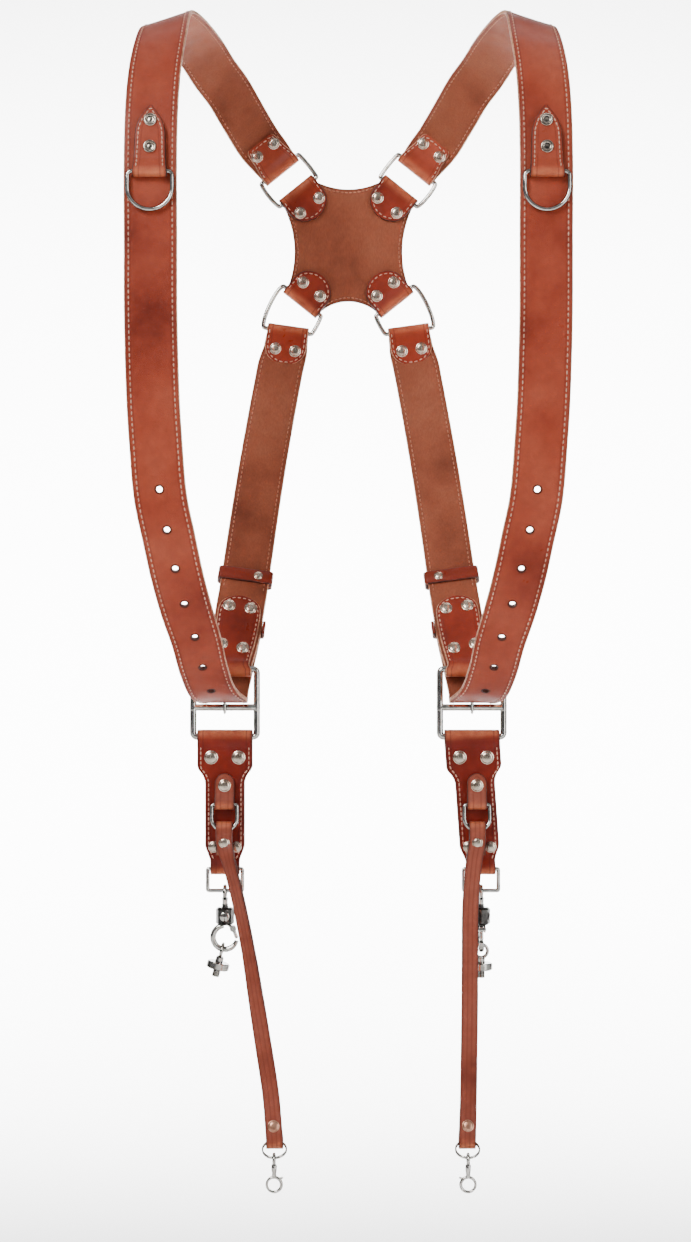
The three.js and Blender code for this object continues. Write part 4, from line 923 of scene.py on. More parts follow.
def pin(start, end, radius, sides=24, bevel=0.25):
    """A round pin with softened ends."""
    start, end = np.asarray(start, float), np.asarray(end, float)
    length = np.linalg.norm(end - start)
    profile = [(radius - bevel, 0), (radius, bevel), (radius, length - bevel), (radius - bevel, length)]
    return lathe(profile, start, end - start, sides)


def arc(x, z, radius, start, end, steps):
    """Points along an arc in the (X, Z) plane."""
    angles = np.radians(np.linspace(start, end, steps + 1))
    return [vec(x + radius * cos(a), 0, z + radius * sin(a)) for a in angles]


def handed(points, hand):
    return np.asarray(points, float) * (hand, 1, 1)


# Leather bands with soft corners: the section goes round from the outer face
SPANS = 8


def band_section(half, thickness, corner):
    inner = half - corner
    face = np.linspace(1, -1, SPANS + 1) * inner
    deep = thickness / 2
    rise = deep - corner
    points = [(a, deep) for a in face]
    points += [(-inner + corner * cos(radians(t)), rise + corner * sin(radians(t))) for t in (120, 150, 180)]
    points += [(-inner + corner * cos(radians(t)), -rise + corner * sin(radians(t))) for t in (180, 210, 240)]
    points += [(a, -deep) for a in face[::-1]]
    points += [(inner + corner * cos(radians(t)), -rise + corner * sin(radians(t))) for t in (300, 330, 360)]
    points += [(inner + corner * cos(radians(t)), rise + corner * sin(radians(t))) for t in (0, 30, 60)]
    return points


def bends(frames, spread=2.0):
    """How sharply a strap is bent at each frame, 0 to 1, spread a little along it."""
    reach = distances(frames)
    alongs = np.array([f["along"] for f in frames])
    turns = np.linalg.norm(np.roll(alongs, -1, axis=0) - np.roll(alongs, 1, axis=0), axis=1)
    steps = np.maximum(np.roll(reach, -1) - np.roll(reach, 1), 0.2)
    sharp = np.clip((turns / steps - 0.12) / 0.1, 0, 1)
    sharp[[0, -1]] = 0
    near = np.exp(-((reach[:, None] - reach[None]) / spread) ** 2) * np.gradient(reach)[None]
    return np.clip((near * sharp[None]).sum(axis=1) / near.sum(axis=1), 0, 1)


def band_mesh(name, frames, thickness, grain_side, materials, hand=1, corner=0.8):
    """A strap of leather through frames. Materials are the grain's, the flesh side's and the edge's."""
    reach = distances(frames)
    points, uv, edge = [], [], []
    for spot, length, bend in zip(frames, reach, bends(frames)):
        half = spot["half"]
        for a, b in band_section(half, thickness, min(corner, half * 0.45)):
            points.append(spot["at"] + spot["across"] * a + spot["out"] * b)
            uv.append((length * MM, a * MM))
            edge.append((bend, (half - abs(a)) * MM))
    count = 2 * (SPANS + 1) + 12
    faces = tube_faces(len(frames), count, False)
    kinds = []
    for face in range(len(faces) - 2):
        place = face % count
        if place < SPANS:
            kinds.append(0 if grain_side > 0 else 1)
        elif SPANS + 6 < place < 2 * SPANS + 7:
            kinds.append(1 if grain_side > 0 else 0)
        else:
            kinds.append(2)
    kinds += [2, 2]
    maps = {"UVMap": uv, "edge": edge}
    return solid_mesh(name, handed(points, hand), faces, materials, kinds, maps, LEATHER_SHARP)


def cut_with(mesh, tools, hand):
    """A strap less the tools' bodies, with the cut walls in the edge's material."""
    body = in_scene("cut", mesh)
    tool = in_scene("cutter", handed_mesh("cutter", tools, hand, [DARK_EDGE]))
    cutter = body.modifiers.new("cut", "BOOLEAN")
    cutter.operation = "DIFFERENCE"
    cutter.solver = "EXACT"
    cutter.material_mode = "TRANSFER"
    cutter.object = tool
    mesh = plain_copy(body, mesh.name, (tool,))
    finish_normals(mesh, LEATHER_SHARP)
    return mesh


def punch(spot):
    """The body of a round hole through a strap."""
    start = spot["at"] - spot["out"] * STRAP_THICK
    return lathe([(HOLE_CUT, 0), (HOLE_CUT, STRAP_THICK * 2)], start, spot["out"], 16)


def plain_copy(source, name, also=()):
    """The source's evaluated mesh, with the source and its helpers gone."""
    view = bpy.context.evaluated_depsgraph_get()
    view.update()
    mesh = bpy.data.meshes.new_from_object(source.evaluated_get(view))
    mesh.name = name
    for thing in (source, *also):
        bpy.data.objects.remove(thing)
    return mesh


# Geometry Nodes for what repeats
def instance_tree(name, inputs, kinds, properties, values, joins):
    """A tree that places instances with its node named place, then makes them real and painted."""
    tree = new_tree(
        name, "GeometryNodeTree", [("Geometry", "Geometry"), *inputs, ("Material", "Material")],
        [("Geometry", "Geometry")])
    kinds = {
        **kinds, "align": "FunctionNodeAlignRotationToVector", "place": "GeometryNodeInstanceOnPoints",
        "real": "GeometryNodeRealizeInstances", "paint": "GeometryNodeSetMaterial",
    }
    return fill_tree(tree, kinds, properties, values, [
        *joins, ("align.Rotation", "place.Rotation"), ("place.Instances", "real.Geometry"),
        ("real.Geometry", "paint.Geometry"), ("source.Material", "paint.Material"),
        ("paint.Geometry", "sink.Geometry"),
    ])


def stitch_tree():
    """Short round stitches along the lines of a mesh, at a pitch, each a little different."""
    return instance_tree("stitches", [
        ("Pitch", "Float"), ("Stitch Length", "Float"), ("Thread Radius", "Float"), ("Seed", "Int"),
    ], {
        "curve": "GeometryNodeMeshToCurve", "spots": "GeometryNodeCurveToPoints",
        "ball": "GeometryNodeMeshUVSphere", "size": "ShaderNodeCombineXYZ", "half": "ShaderNodeMath",
        "shape": "GeometryNodeTransform", "vary": "FunctionNodeRandomValue",
        "smooth": "GeometryNodeSetShadeSmooth",
    }, {
        "spots.mode": "LENGTH", "half.operation": "MULTIPLY", "align.axis": "X",
        "vary.data_type": "FLOAT_VECTOR",
    }, {
        "ball.Segments": 6, "ball.Rings": 5, "ball.Radius": 1, "half.1": 0.5,
        "vary.0": (0.9, 0.9, 0.9), "vary.1": (1.08, 1.1, 1.1),
    }, [
        ("source.Geometry", "curve.Mesh"), ("curve.Curve", "spots.Curve"), ("source.Pitch", "spots.Length"),
        ("source.Stitch Length", "half.0"), ("half.0", "size.X"),
        ("source.Thread Radius", "size.Y"), ("source.Thread Radius", "size.Z"),
        ("ball.Mesh", "shape.Geometry"), ("size.Vector", "shape.Scale"),
        ("shape.Geometry", "smooth.Geometry"),
        ("spots.Points", "place.Points"), ("smooth.Geometry", "place.Instance"),
        ("spots.Tangent", "align.Vector"), ("source.Seed", "vary.Seed"), ("vary.0", "place.Scale"),
    ])


def rivet_tree():
    """A head on each point, standing along the point's facing, at the point's own size."""
    return instance_tree("rivets", [("Head", "Object")], {
        "head": "GeometryNodeObjectInfo", "facing": "GeometryNodeInputNamedAttribute",
        "scale": "GeometryNodeInputNamedAttribute", "spots": "GeometryNodeMeshToPoints",
    }, {
        "facing.data_type": "FLOAT_VECTOR", "scale.data_type": "FLOAT", "align.axis": "Z",
    }, {
        "facing.Name": "facing", "scale.Name": "head_scale",
    }, [
        ("source.Geometry", "spots.Mesh"), ("source.Head", "head.Object"), ("spots.Points", "place.Points"),
        ("head.Geometry", "place.Instance"), ("facing.Attribute", "align.Vector"),
        ("scale.Attribute", "place.Scale"),
    ])


STITCHES = stitch_tree()
RIVETS = rivet_tree()


def grown(source, tree, name, values, also=()):
    """Runs a tree on a source object and keeps its result as a plain mesh."""
    modifier = source.modifiers.new("grow", "NODES")
    modifier.node_group = tree
    for item in tree.interface.items_tree:
        if item.item_type == "SOCKET" and item.in_out == "INPUT" and item.name in values:
            modifier[item.identifier] = values[item.name]
    return plain_copy(source, name, also)


def sew(name, lines, hand, body, seed=1, pitch=STITCH_PITCH, material=None):
    """Stitches along lines of points, in millimetres."""
    mesh = bpy.data.meshes.new(name)
    points, edges = [], []
    for line in lines:
        start = len(points)
        points += [tuple(p * MM) for p in handed(line, hand)]
        edges += [(start + i, start + i + 1) for i in range(len(line) - 1)]
    mesh.from_pydata(points, edges, [])
    source = in_scene(name, mesh)
    values = {
        "Pitch": pitch * MM, "Stitch Length": STITCH_LENGTH * MM, "Thread Radius": THREAD_RADIUS * MM,
        "Seed": seed, "Material": material or THREAD,
    }
    return link_piece(name, grown(source, STITCHES, name, values), body)


def band_lines(frames, thickness, face, inset=STITCH_INSET, start=0.0, end=None):
    """Lines beside both edges of a strap, on one face, between two distances along it."""
    reach = distances(frames)
    end = reach[-1] if end is None else end
    lines = []
    for side in (1, -1):
        line = []
        for spot, length in zip(frames, reach):
            if start <= length <= end and spot["half"] > inset + 0.5:
                beside = spot["across"] * side * (spot["half"] - inset)
                above = spot["out"] * face * (thickness / 2 + STITCH_LIFT)
                line.append(spot["at"] + (beside + above))
        lines.append(line)
    return lines


# Rivet heads: radius and height, as shares of the head's own radius and rise
DOMED = [(0.9, -0.13), (1, -0.03), (1, 0.16), (0.95, 0.26), (0.88, 0.27), (0.86, 0.32), (0.82, 0.58),
         (0.72, 0.78), (0.56, 0.92), (0.36, 1), (0.16, 1.03), (0, 1.04)]
HOLLOW = [(0.9, -0.13), (1, -0.03), (1, 0.3), (0.95, 0.6), (0.84, 0.84), (0.72, 0.86), (0.63, 0.66),
          (0.58, 0.34), (0.5, 0.2), (0.3, 0.22), (0.12, 0.3), (0, 0.31)]


def rivet_head(shape):
    """A turned head on a thin rolled flange, about a point on the leather."""
    profile = [(radius * RIVET_RADIUS, height * RIVET_RISE) for radius, height in shape]
    points, faces = lathe(profile, (0, 0, 0), Z_AXIS, 28)
    return solid_mesh("rivet head", points, faces, [RIVET_NICKEL], sharp=LEATHER_SHARP)


def rivets(name, places, hand, body, material=None, shape=DOMED):
    """Rivet heads: each place is a point, the way it faces and a size share."""
    mesh = bpy.data.meshes.new(name)
    mesh.from_pydata([tuple(handed(p, hand) * MM) for p, _, _ in places], [], [])
    facing = mesh.attributes.new("facing", "FLOAT_VECTOR", "POINT")
    facing.data.foreach_set("vector", np.array([handed(f, hand) for _, f, _ in places]).ravel())
    scale = mesh.attributes.new("head_scale", "FLOAT", "POINT")
    scale.data.foreach_set("value", [share for _, _, share in places])
    source, head = in_scene(name, mesh), in_scene("rivet head", rivet_head(shape))
    values = {"Head": head, "Material": material or RIVET_NICKEL}
    return link_piece(name, grown(source, RIVETS, name, values, (head,)), body)


def on_band(frames, distance, lateral, face, thickness, share=1.0):
    """A rivet's place on a strap: beside its middle, on its out face or the other."""
    spot = frame_at(frames, distance)
    outward = unit(spot["out"]) * face
    at = spot["at"] + unit(spot["across"]) * lateral + outward * thickness / 2
    return at, outward, share


def through(place, behind=None):
    """Both heads of a rivet through two layers: its place, and the one on the far side."""
    at, out, share = place
    behind = -out if behind is None else behind
    return [place, (at + behind * (STRAP_THICK * 2 + GAP), behind, share)]


# The pieces
def make_yoke():
    """The plate with hollowed sides, its four folded arms, stitches and rivets."""
    outline, sewn = yoke_outline()
    middle_y = YOKE_REACH + (STRAP_THICK + GAP) / 2
    plate = plate_mesh("yoke_plate", outline, middle_y, STRAP_THICK, (FLESH, COGNAC, DARK_EDGE), -YOKE_DROP)
    link_piece("yoke_plate", plate, "harness", "yoke")
    inner = outline * (1 - YOKE_INSET / YOKE_WAIST_HALF)
    lines = []
    for face in (-1, 1):
        for start, end in sewn:
            lines.append([vec(x, middle_y + face * (STRAP_THICK / 2 + STITCH_LIFT), z - YOKE_DROP)
                          for x, z in inner[start:end]])
    sew("yoke_stitches", lines, 1, "harness", 3, CLOSE_PITCH, WORN_THREAD)
    heads = []
    for name, arm in (("upper", UPPER_ARM), ("lower", LOWER_ARM)):
        up, spread = YOKE_RIVETS[name]
        for side_name, side in (("left", 1), ("right", -1)):
            frames = yoke_arm_frames(arm, side)
            face = front_side(frames)
            mesh = band_mesh("yoke_arm", frames, STRAP_THICK, face, (TAB_RED, FLESH, DARK_EDGE))
            label = f"yoke_arm_{name}_{side_name}"
            link_piece(label, mesh, "harness")
            sew(f"{label}_stitches", tab_lines(frames, STRAP_THICK, face, YOKE_TAB_LENGTH), 1, "harness", 5)
            total = distances(frames)[-1]
            for lateral in (-spread, spread):
                place = on_band(frames, total - YOKE_TAB_LENGTH + up, lateral, face, STRAP_THICK)
                heads += through(place, Y_AXIS)
    rivets("yoke_rivets", heads, 1, "harness")


def yoke_outline():
    """The plate's outline seen from the front, and the stretches of it that are sewn."""
    start_in, half = 2.5, YOKE_ARM_WIDTH / 2 - 0.2

    def corner(arm, turn, side):
        across = banked(arm["bank"])
        place = arm["bar"] - YOKE_CENTRE - arm["outward"] * start_in + across * turn * half
        return np.array([place[0] * side, place[2]])

    sides = [
        (corner(UPPER_ARM, 1, -1), corner(UPPER_ARM, 1, 1), 1, YOKE_WAIST_UP),
        (corner(UPPER_ARM, -1, 1), corner(LOWER_ARM, -1, 1), 0, -YOKE_WAIST_HALF),
        (corner(LOWER_ARM, 1, 1), corner(LOWER_ARM, 1, -1), 1, -YOKE_WAIST_UP),
        (corner(LOWER_ARM, -1, -1), corner(UPPER_ARM, -1, -1), 0, YOKE_WAIST_HALF),
    ]
    points, sewn = [], []
    for number, (start, end, axis, waist) in enumerate(sides):
        sewn.append((len(points) + 3, len(points) + 22))
        points += hollow(start, end, axis, waist)
        points += [mix(end, sides[(number + 1) % 4][0], share) for share in np.linspace(0, 1, 9)[1:-1]]
    return np.array(points), sewn


def hollow(start, end, axis, waist):
    """An arc from one point to another whose deepest place is the waist."""
    middle = (start + end) / 2
    chord = (end - start) / 2
    deep = abs(waist - middle[axis])
    radius = (chord.dot(chord) / deep + deep) / 2
    inward = np.array([1 - axis, axis]) * np.sign(waist - middle[axis])
    centre = middle + inward * (deep - radius)
    widest = np.arcsin(np.linalg.norm(chord) / radius)
    along = chord / np.linalg.norm(chord)
    angles = np.linspace(-widest, widest, 25)
    return [centre + radius * (along * np.sin(a) + inward * np.cos(a)) for a in angles]


def yoke_arm_frames(arm, side):
    def mirror(vector):
        return vector * (side, 1, 1)

    half = YOKE_ARM_WIDTH / 2
    rows = fold_rows(
        flat_plane(mirror(arm["bar"]), -mirror(arm["outward"]), banked(side * arm["bank"]), Y_AXIS),
        YOKE_WIRE, STRAP_THICK, 10, lambda distance: half,
        round_tab(YOKE_TAB_LENGTH, YOKE_ARM_WIDTH, roundness=0.85), YOKE_TAB_LENGTH, YOKE_ARM_WIDTH)
    return frames_of(rows, 1.6)


def inset_outline(outline, distance):
    """A closed outline moved inward by a distance."""
    before = np.roll(outline, 1, axis=0)
    after = np.roll(outline, -1, axis=0)
    along = after - before
    along = along / np.linalg.norm(along, axis=1)[:, None]
    normal = np.stack([-along[:, 1], along[:, 0]], axis=1)
    centre = outline.mean(axis=0)
    inward = np.sign(((centre - outline) * normal).sum(axis=1))[:, None]
    return outline + normal * inward * distance


def plate_mesh(name, outline, y, thickness, materials, drop):
    """A flat plate with softened edges; materials are the front's, the back's and the edge's."""
    deep, corner = thickness / 2, 0.6
    inner = [(1 - d / YOKE_WAIST_HALF, d) for d in (2, 3, 4, 6, 10, 18, 28, 38, 43.5)]
    soft = corner * 0.3
    steps = [(-deep, scale, 0, d) for scale, d in inner[::-1]]
    steps += [(-deep, 1, corner, corner), (-deep + soft, 1, soft, 0.2), (-deep + corner, 1, 0, 0)]
    steps += [(deep - corner, 1, 0, 0), (deep - soft, 1, soft, 0.2), (deep, 1, corner, corner)]
    steps += [(deep, scale, 0, d) for scale, d in inner]
    points, edge = [], []
    for depth, scale, inset, away in steps:
        ring = inset_outline(outline, inset) * scale if inset else outline * scale
        points += [vec(x, y + depth, z + drop) for x, z in ring]
        edge += [(0, away * MM)] * len(ring)
    count = len(outline)
    faces = tube_faces(len(steps), count, False)
    kinds = []
    for face in range(len(faces) - 2):
        ring = face // count
        kinds.append(0 if ring < len(inner) else 1 if ring >= len(steps) - 1 - len(inner) else 2)
    kinds += [0, 1]
    return solid_mesh(name, points, faces, materials, kinds, {"UVMap": edge, "edge": edge}, LEATHER_SHARP)


def tab_lines(frames, thickness, face, length, inset=TAB_INSET):
    """One line of stitches round a tab's free end, inside its outline, on one face."""
    total = distances(frames)[-1]
    lengths = np.linspace(total - length + 2, total, 60)
    halves = np.array([frame_at(frames, d)["half"] for d in lengths])
    cut = np.linspace(halves[-1], 0, 12)
    outline = np.vstack([
        np.stack([lengths, halves], axis=1), np.stack([np.full(len(cut), total), cut], axis=1)])
    side = []
    for distance in np.linspace(lengths[0], total - inset, 50):
        tries = np.linspace(halves.max(), 0, 90)
        away = np.hypot(outline[:, 0] - distance, outline[:, 1] - tries[:, None]).min(axis=1)
        inside = (away >= inset) & (tries < np.interp(distance, lengths, halves))
        if inside.any():
            side.append((distance, tries[inside][0]))
    spots = side + [(d, -h) for d, h in side[::-1]]
    line = []
    for distance, lateral in spots:
        spot = frame_at(frames, distance)
        above = unit(spot["out"]) * face * (thickness / 2 + STITCH_LIFT)
        line.append(spot["at"] + unit(spot["across"]) * lateral + above)
    return [line]


def make_shoulder_strap(side, hand):
    mesh = band_mesh("strap", SHOULDER_FRAMES, STRAP_THICK, 1, (STRAP_GRAIN, FLESH, RAW), hand)
    punches = [punch(frame_at(SHOULDER_FRAMES, PRONG_AT + number * HOLE_PITCH))
               for number in range(-HOLES_IN_TAIL, HOLES_ABOVE_PRONG + 1)]
    mesh = cut_with(mesh, punches, hand)
    leather_piece(f"shoulder_strap_{side}", mesh)
    total = distances(SHOULDER_FRAMES)[-1]
    lines = band_lines(SHOULDER_FRAMES, STRAP_THICK, 1, end=total - SHOULDER_TAB_LENGTH - 15)
    lines += tab_lines(SHOULDER_FRAMES, STRAP_THICK, 1, SHOULDER_TAB_LENGTH)
    sew(f"shoulder_strap_{side}_stitches", lines, hand, "harness", 7)
    lines = band_lines(
        SHOULDER_FRAMES, STRAP_THICK, -1, start=PRONG_AT, end=total - SHOULDER_TAB_LENGTH * 2 - 5)
    sew(f"shoulder_strap_{side}_inner_stitches", lines, hand, "harness", 8, material=WORN_THREAD)
    start = total - SHOULDER_TAB_LENGTH
    heads = []
    for lateral in (-SHOULDER_RIVET_SPREAD, SHOULDER_RIVET_SPREAD):
        heads += through(on_band(SHOULDER_FRAMES, start + SHOULDER_RIVET_UP, lateral, 1, STRAP_THICK))
    rivets(f"shoulder_strap_{side}_rivets", heads, hand, "harness")


def make_back_strap(side, hand):
    mesh = band_mesh("strap", BACK_FRAMES, STRAP_THICK, -1, (TAB_RED, FLESH, RAW), hand)
    reach = vec(PRONG_WIRE + LOOSE, 0, 0)
    slot = pin(HEEL_BAR - reach, HEEL_BAR + reach, FRAME_WIRE + GAP + PRONG_WIRE * 2 + LOOSE, bevel=0.01)
    mesh = cut_with(mesh, [slot], hand)
    leather_piece(f"back_strap_{side}", mesh)
    total = distances(BACK_FRAMES)[-1]
    heel_end = [{**spot, "out": -spot["out"]} for spot in BACK_FRAMES[::-1]]
    lines = tab_lines(heel_end, STRAP_THICK, 1, HEEL_TAB_LENGTH - 6)
    lines += tab_lines(BACK_FRAMES, STRAP_THICK, -1, BACK_TAB_LENGTH)
    lines += band_lines(
        BACK_FRAMES, STRAP_THICK, -1, start=HEEL_TAB_LENGTH + 24, end=total - BACK_TAB_LENGTH - 15)
    sew(f"back_strap_{side}_stitches", lines, hand, "harness", 9)
    lines = band_lines(
        BACK_FRAMES, STRAP_THICK, 1, start=HEEL_TAB_LENGTH + 88, end=total - BACK_TAB_LENGTH * 2 - 4)
    sew(f"back_strap_{side}_inner_stitches", lines, hand, "harness", 10, material=WORN_THREAD)
    heads = []
    for down in HEEL_RIVETS_DOWN:
        for lateral in (-HEEL_RIVET_SPREAD, HEEL_RIVET_SPREAD):
            heads.append(on_band(BACK_FRAMES, HEEL_TAB_LENGTH - down, lateral, -1, STRAP_THICK))
    start = total - BACK_TAB_LENGTH
    for lateral in (-BACK_RIVET_SPREAD, BACK_RIVET_SPREAD):
        heads += through(on_band(BACK_FRAMES, start + BACK_RIVET_UP, lateral, -1, STRAP_THICK))
    rivets(f"back_strap_{side}_rivets", heads, hand, "harness")


def make_keepers(side, hand):
    """Bands of leather round the back strap and the strap's tail."""
    for name, distance, closed in (("upper", UPPER_KEEPER_AT, True), ("lower", LOWER_KEEPER_AT, False)):
        at, along, across, behind = behind_back_strap(distance, STRAP_THICK + GAP)
        wide = STRAP_WIDTH / 2 + GAP + 0.1 + KEEPER_LEATHER / 2
        deep = STRAP_THICK + GAP * 1.5 + KEEPER_LEATHER / 2
        bend = 1.8
        ring = []
        for x, y, start in ((wide, deep, 0), (-wide, deep, 90), (-wide, -deep, 180), (wide, -deep, 270)):
            cx, cy = x - np.sign(x) * bend, y - np.sign(y) * bend
            for angle in np.linspace(start, start + 90, 6):
                ring.append((cx + bend * cos(radians(angle)), cy + bend * sin(radians(angle))))
        if not closed:
            legs = -STRAP_THICK - GAP - 1
            ring = [(wide, legs), (wide, 0)] + ring[:12] + [(-wide, 0), (-wide, legs)]
        spots = [at + across * x + behind * y for x, y in ring]
        mesh = loop_band(f"keeper_{name}", spots, at, along, closed, hand)
        leather_piece(f"keeper_{name}_{side}", mesh)
    at, along, across, behind = behind_back_strap(UPPER_KEEPER_AT, STRAP_THICK + GAP)
    front = at - behind * (STRAP_THICK + GAP * 1.5 + KEEPER_LEATHER)
    head = (front + across * KEEPER_RIVET_ACROSS, -behind, KEEPER_RIVET_SHARE)
    rivets(f"keeper_upper_{side}_rivet", [head], hand, "harness")


def loop_band(name, spots, centre, along, closed, hand):
    """A band of leather standing round a centre, its width along a direction."""
    spots = np.array(spots)
    count = len(spots)
    half, thick, soft = KEEPER_HEIGHT / 2, KEEPER_LEATHER / 2, 0.5
    section = [(half - soft, thick), (-half + soft, thick), (-half, thick - soft), (-half, -thick + soft),
               (-half + soft, -thick), (half - soft, -thick), (half, -thick + soft), (half, thick - soft)]
    points, edge = [], []
    for index, spot in enumerate(spots):
        before = spots[index - 1] if closed or index else spot
        after = spots[(index + 1) % count] if closed or index + 1 < count else spot
        outward = unit(np.cross(unit(after - before), along))
        if outward.dot(spot - centre) < 0:
            outward = -outward
        for a, b in section:
            points.append(spot + along * a + outward * b)
            edge.append((0, (half - abs(a)) * MM))
    faces = tube_faces(count, len(section), closed)
    kinds = [0 if face % 8 == 0 else 1 if face % 8 == 4 else 2 for face in range(len(faces))]
    return solid_mesh(name, handed(points, hand), faces, (COGNAC, FLESH, DARK_EDGE), kinds,
                      {"UVMap": edge, "edge": edge}, LEATHER_SHARP)


def make_chest_tab(side, hand):
    frames = chest_tab_frames()
    face = front_side(frames)
    mesh = band_mesh("tab", frames, THIN_LEATHER, face, (COGNAC, FLESH, DARK_EDGE), hand, 0.6)
    leather_piece(f"chest_tab_{side}", mesh)
    sew(f"chest_tab_{side}_stitches",
        tab_lines(frames, THIN_LEATHER, face, CHEST_TAB_LENGTH, 2.3), hand, "harness", 11, CLOSE_PITCH)
    start = distances(frames)[-1] - CHEST_TAB_LENGTH
    heads = [on_band(frames, start + up, 0, face, THIN_LEATHER) for up in CHEST_RIVETS_UP]
    rivets(f"chest_tab_{side}_rivets", heads, hand, "harness", EYELET_NICKEL, HOLLOW)


def d_ring(half, height, bar_half):
    """A D ring's middle line: a straight bar, two soft corners and a round bow below."""
    corner = half - bar_half
    bow = half - height
    return [
        *arc(-bar_half, -corner, corner, 90, 180, 6)[:-1],
        *arc(0, bow, half, 180, 360, 36),
        *arc(bar_half, -corner, corner, 0, 90, 6)[1:],
        *[vec(x, 0, 0) for x in np.linspace(bar_half, -bar_half, 10)[1:-1]],
    ]


def make_chest_ring(side, hand):
    spot = frame_at(SHOULDER_FRAMES, CHEST_START)
    place = spot["at"] + unit(spot["out"]) * CHEST_RING_Y
    points = np.array(d_ring(CHEST_RING_HALF, CHEST_RING_HEIGHT, CHEST_FOLD_WIDTH / 2 + GAP)) + place
    ring = wire(handed(points, hand), CHEST_WIRE, Y_AXIS)
    metal_piece(f"chest_ring_{side}", [ring], body=f"chest_ring_{side}_body")


def make_yoke_rings(side, hand):
    bar = YOKE_ARM_WIDTH / 2 + GAP + YOKE_WIRE

    def bowed(first, first_along, second, second_along, outer_bow):
        points = []
        for turn, bow in ((1, RING_INNER_BOW), (-1, outer_bow)):
            ends = [first + first_along * turn * bar, first + first_along * turn * (bar + bow),
                    second + second_along * turn * (bar + bow), second + second_along * turn * bar]
            curve = [
                (1 - t) ** 3 * ends[0] + 3 * t * (1 - t) ** 2 * ends[1]
                + 3 * t * t * (1 - t) * ends[2] + t ** 3 * ends[3] for t in np.linspace(0, 1, 17)]
            points += curve if turn > 0 else curve[::-1]
        return rounded(points)

    upper_along, lower_along = banked(UPPER_ARM["bank"]), banked(LOWER_ARM["bank"])
    fold_along = banked(-LOWER_FOLD_TURN)
    upper = bowed(UPPER_ARM["bar"], upper_along, UPPER_STRAP_BAR, upper_along, UPPER_RING_OUTER_BOW)
    lower = bowed(LOWER_ARM["bar"], lower_along, LOWER_STRAP_BAR, fold_along, LOWER_RING_OUTER_BOW)
    for name, points in (("upper", upper), ("lower", lower)):
        metal_piece(f"yoke_ring_{name}_{side}", [wire(handed(points, hand), YOKE_RING_WIRE, Y_AXIS)])


def rounded(points, passes=3):
    """A closed line with its corners softened by cutting them again and again."""
    line = np.array(points)
    for _ in range(passes):
        after = np.roll(line, -1, axis=0)
        long = np.linalg.norm(after - line, axis=1) > 0.4
        line = np.vstack([[a * 0.75 + b * 0.25, a * 0.25 + b * 0.75] if far else [a * 0.5 + b * 0.5]
                          for a, b, far in zip(line, after, long)])
    return line


def rounded_loop(width, height, corner, steps=6):
    half, low = width / 2 - corner, corner - height
    return [
        *arc(-half, -corner, corner, 90, 180, steps), *arc(-half, low, corner, 180, 270, steps),
        *arc(half, low, corner, 270, 360, steps), *arc(half, -corner, corner, 0, 90, steps),
    ]


def make_hip_frame(side, hand):
    """The rectangular frame, its cross bar and the collars where the bar is brazed on."""
    loop = np.array(rounded_loop(FRAME_WIDTH, BOTTOM_BAR_BELOW, FRAME_CORNER)) + HEEL_BAR
    drop = vec(0, 0, -CROSS_BAR_BELOW)
    reach = vec(FRAME_WIDTH / 2 - 0.6, 0, 0)
    bar = pin(HEEL_BAR + drop - reach, HEEL_BAR + drop + reach, CROSS_BAR_WIRE)
    collars = []
    for turn in (-1, 1):
        centre = HEEL_BAR + drop + vec(turn * FRAME_WIDTH / 2, 0, 0)
        half = CROSS_BAR_WIRE * 1.05
        collar = FRAME_WIRE + 0.05
        profile = [(FRAME_WIRE, -half), (collar, -half * 0.8), (collar, half * 0.8), (FRAME_WIRE, half)]
        collars.append(lathe(profile, centre, Z_AXIS))
    parts = [wire(loop, FRAME_WIRE, Y_AXIS, sides=20), bar, *collars]
    metal_piece(f"hip_frame_{side}", parts, hand)


def make_prong(side, hand):
    """The prong's ring round the frame's top bar, and its shaft down past the cross bar."""
    radius = FRAME_WIRE + GAP + PRONG_WIRE
    loop = ring_points(HEEL_BAR, radius, Y_AXIS, Z_AXIS, 32)
    top = HEEL_BAR + vec(0, PRONG_Y, 0)
    foot = top + vec(0, 0, -CROSS_BAR_BELOW - PRONG_PAST)
    length = np.linalg.norm(foot - top)
    r = PRONG_WIRE * 0.96
    shaft = lathe([(r, 0), (r, length - 3), (r * 0.85, length - 1.2), (r * 0.5, length - 0.2), (0, length)],
                  top, foot - top, 16)
    parts = [wire(loop, PRONG_WIRE, X_AXIS), shaft]
    metal_piece(f"prong_{side}", parts, hand)


# Hanger: how far down, and half its width there, as shares and by name
HANGER_HALF = {
    "top": HANGER_TOP_WIDTH / 2,
    "shoulder": (HANGER_TOP_WIDTH + HANGER_WIDTH) / 4 - 1,
    "body": HANGER_WIDTH / 2,
    "foot": HANGER_FOOT_WIDTH / 2,
}
HANGER_OUTLINE = [
    (-0.08, "top"), (0.0, "top"), (0.1, "top"), (0.2, "top"), (0.24, "top"), (0.285, "shoulder"),
    (0.335, "body"), (0.5, "body"), (0.7, "body"), (0.83, "body"),
    (0.93, "foot"), (0.97, "foot"), (1.08, "foot"),
]


def hanger_half(down):
    places = [place for place, _ in HANGER_OUTLINE]
    widths = [HANGER_HALF[name] for _, name in HANGER_OUTLINE]
    near = [np.interp(down + shift, places, widths) for shift in (-0.018, -0.009, 0, 0.009, 0.018)]
    return float(np.mean(near))


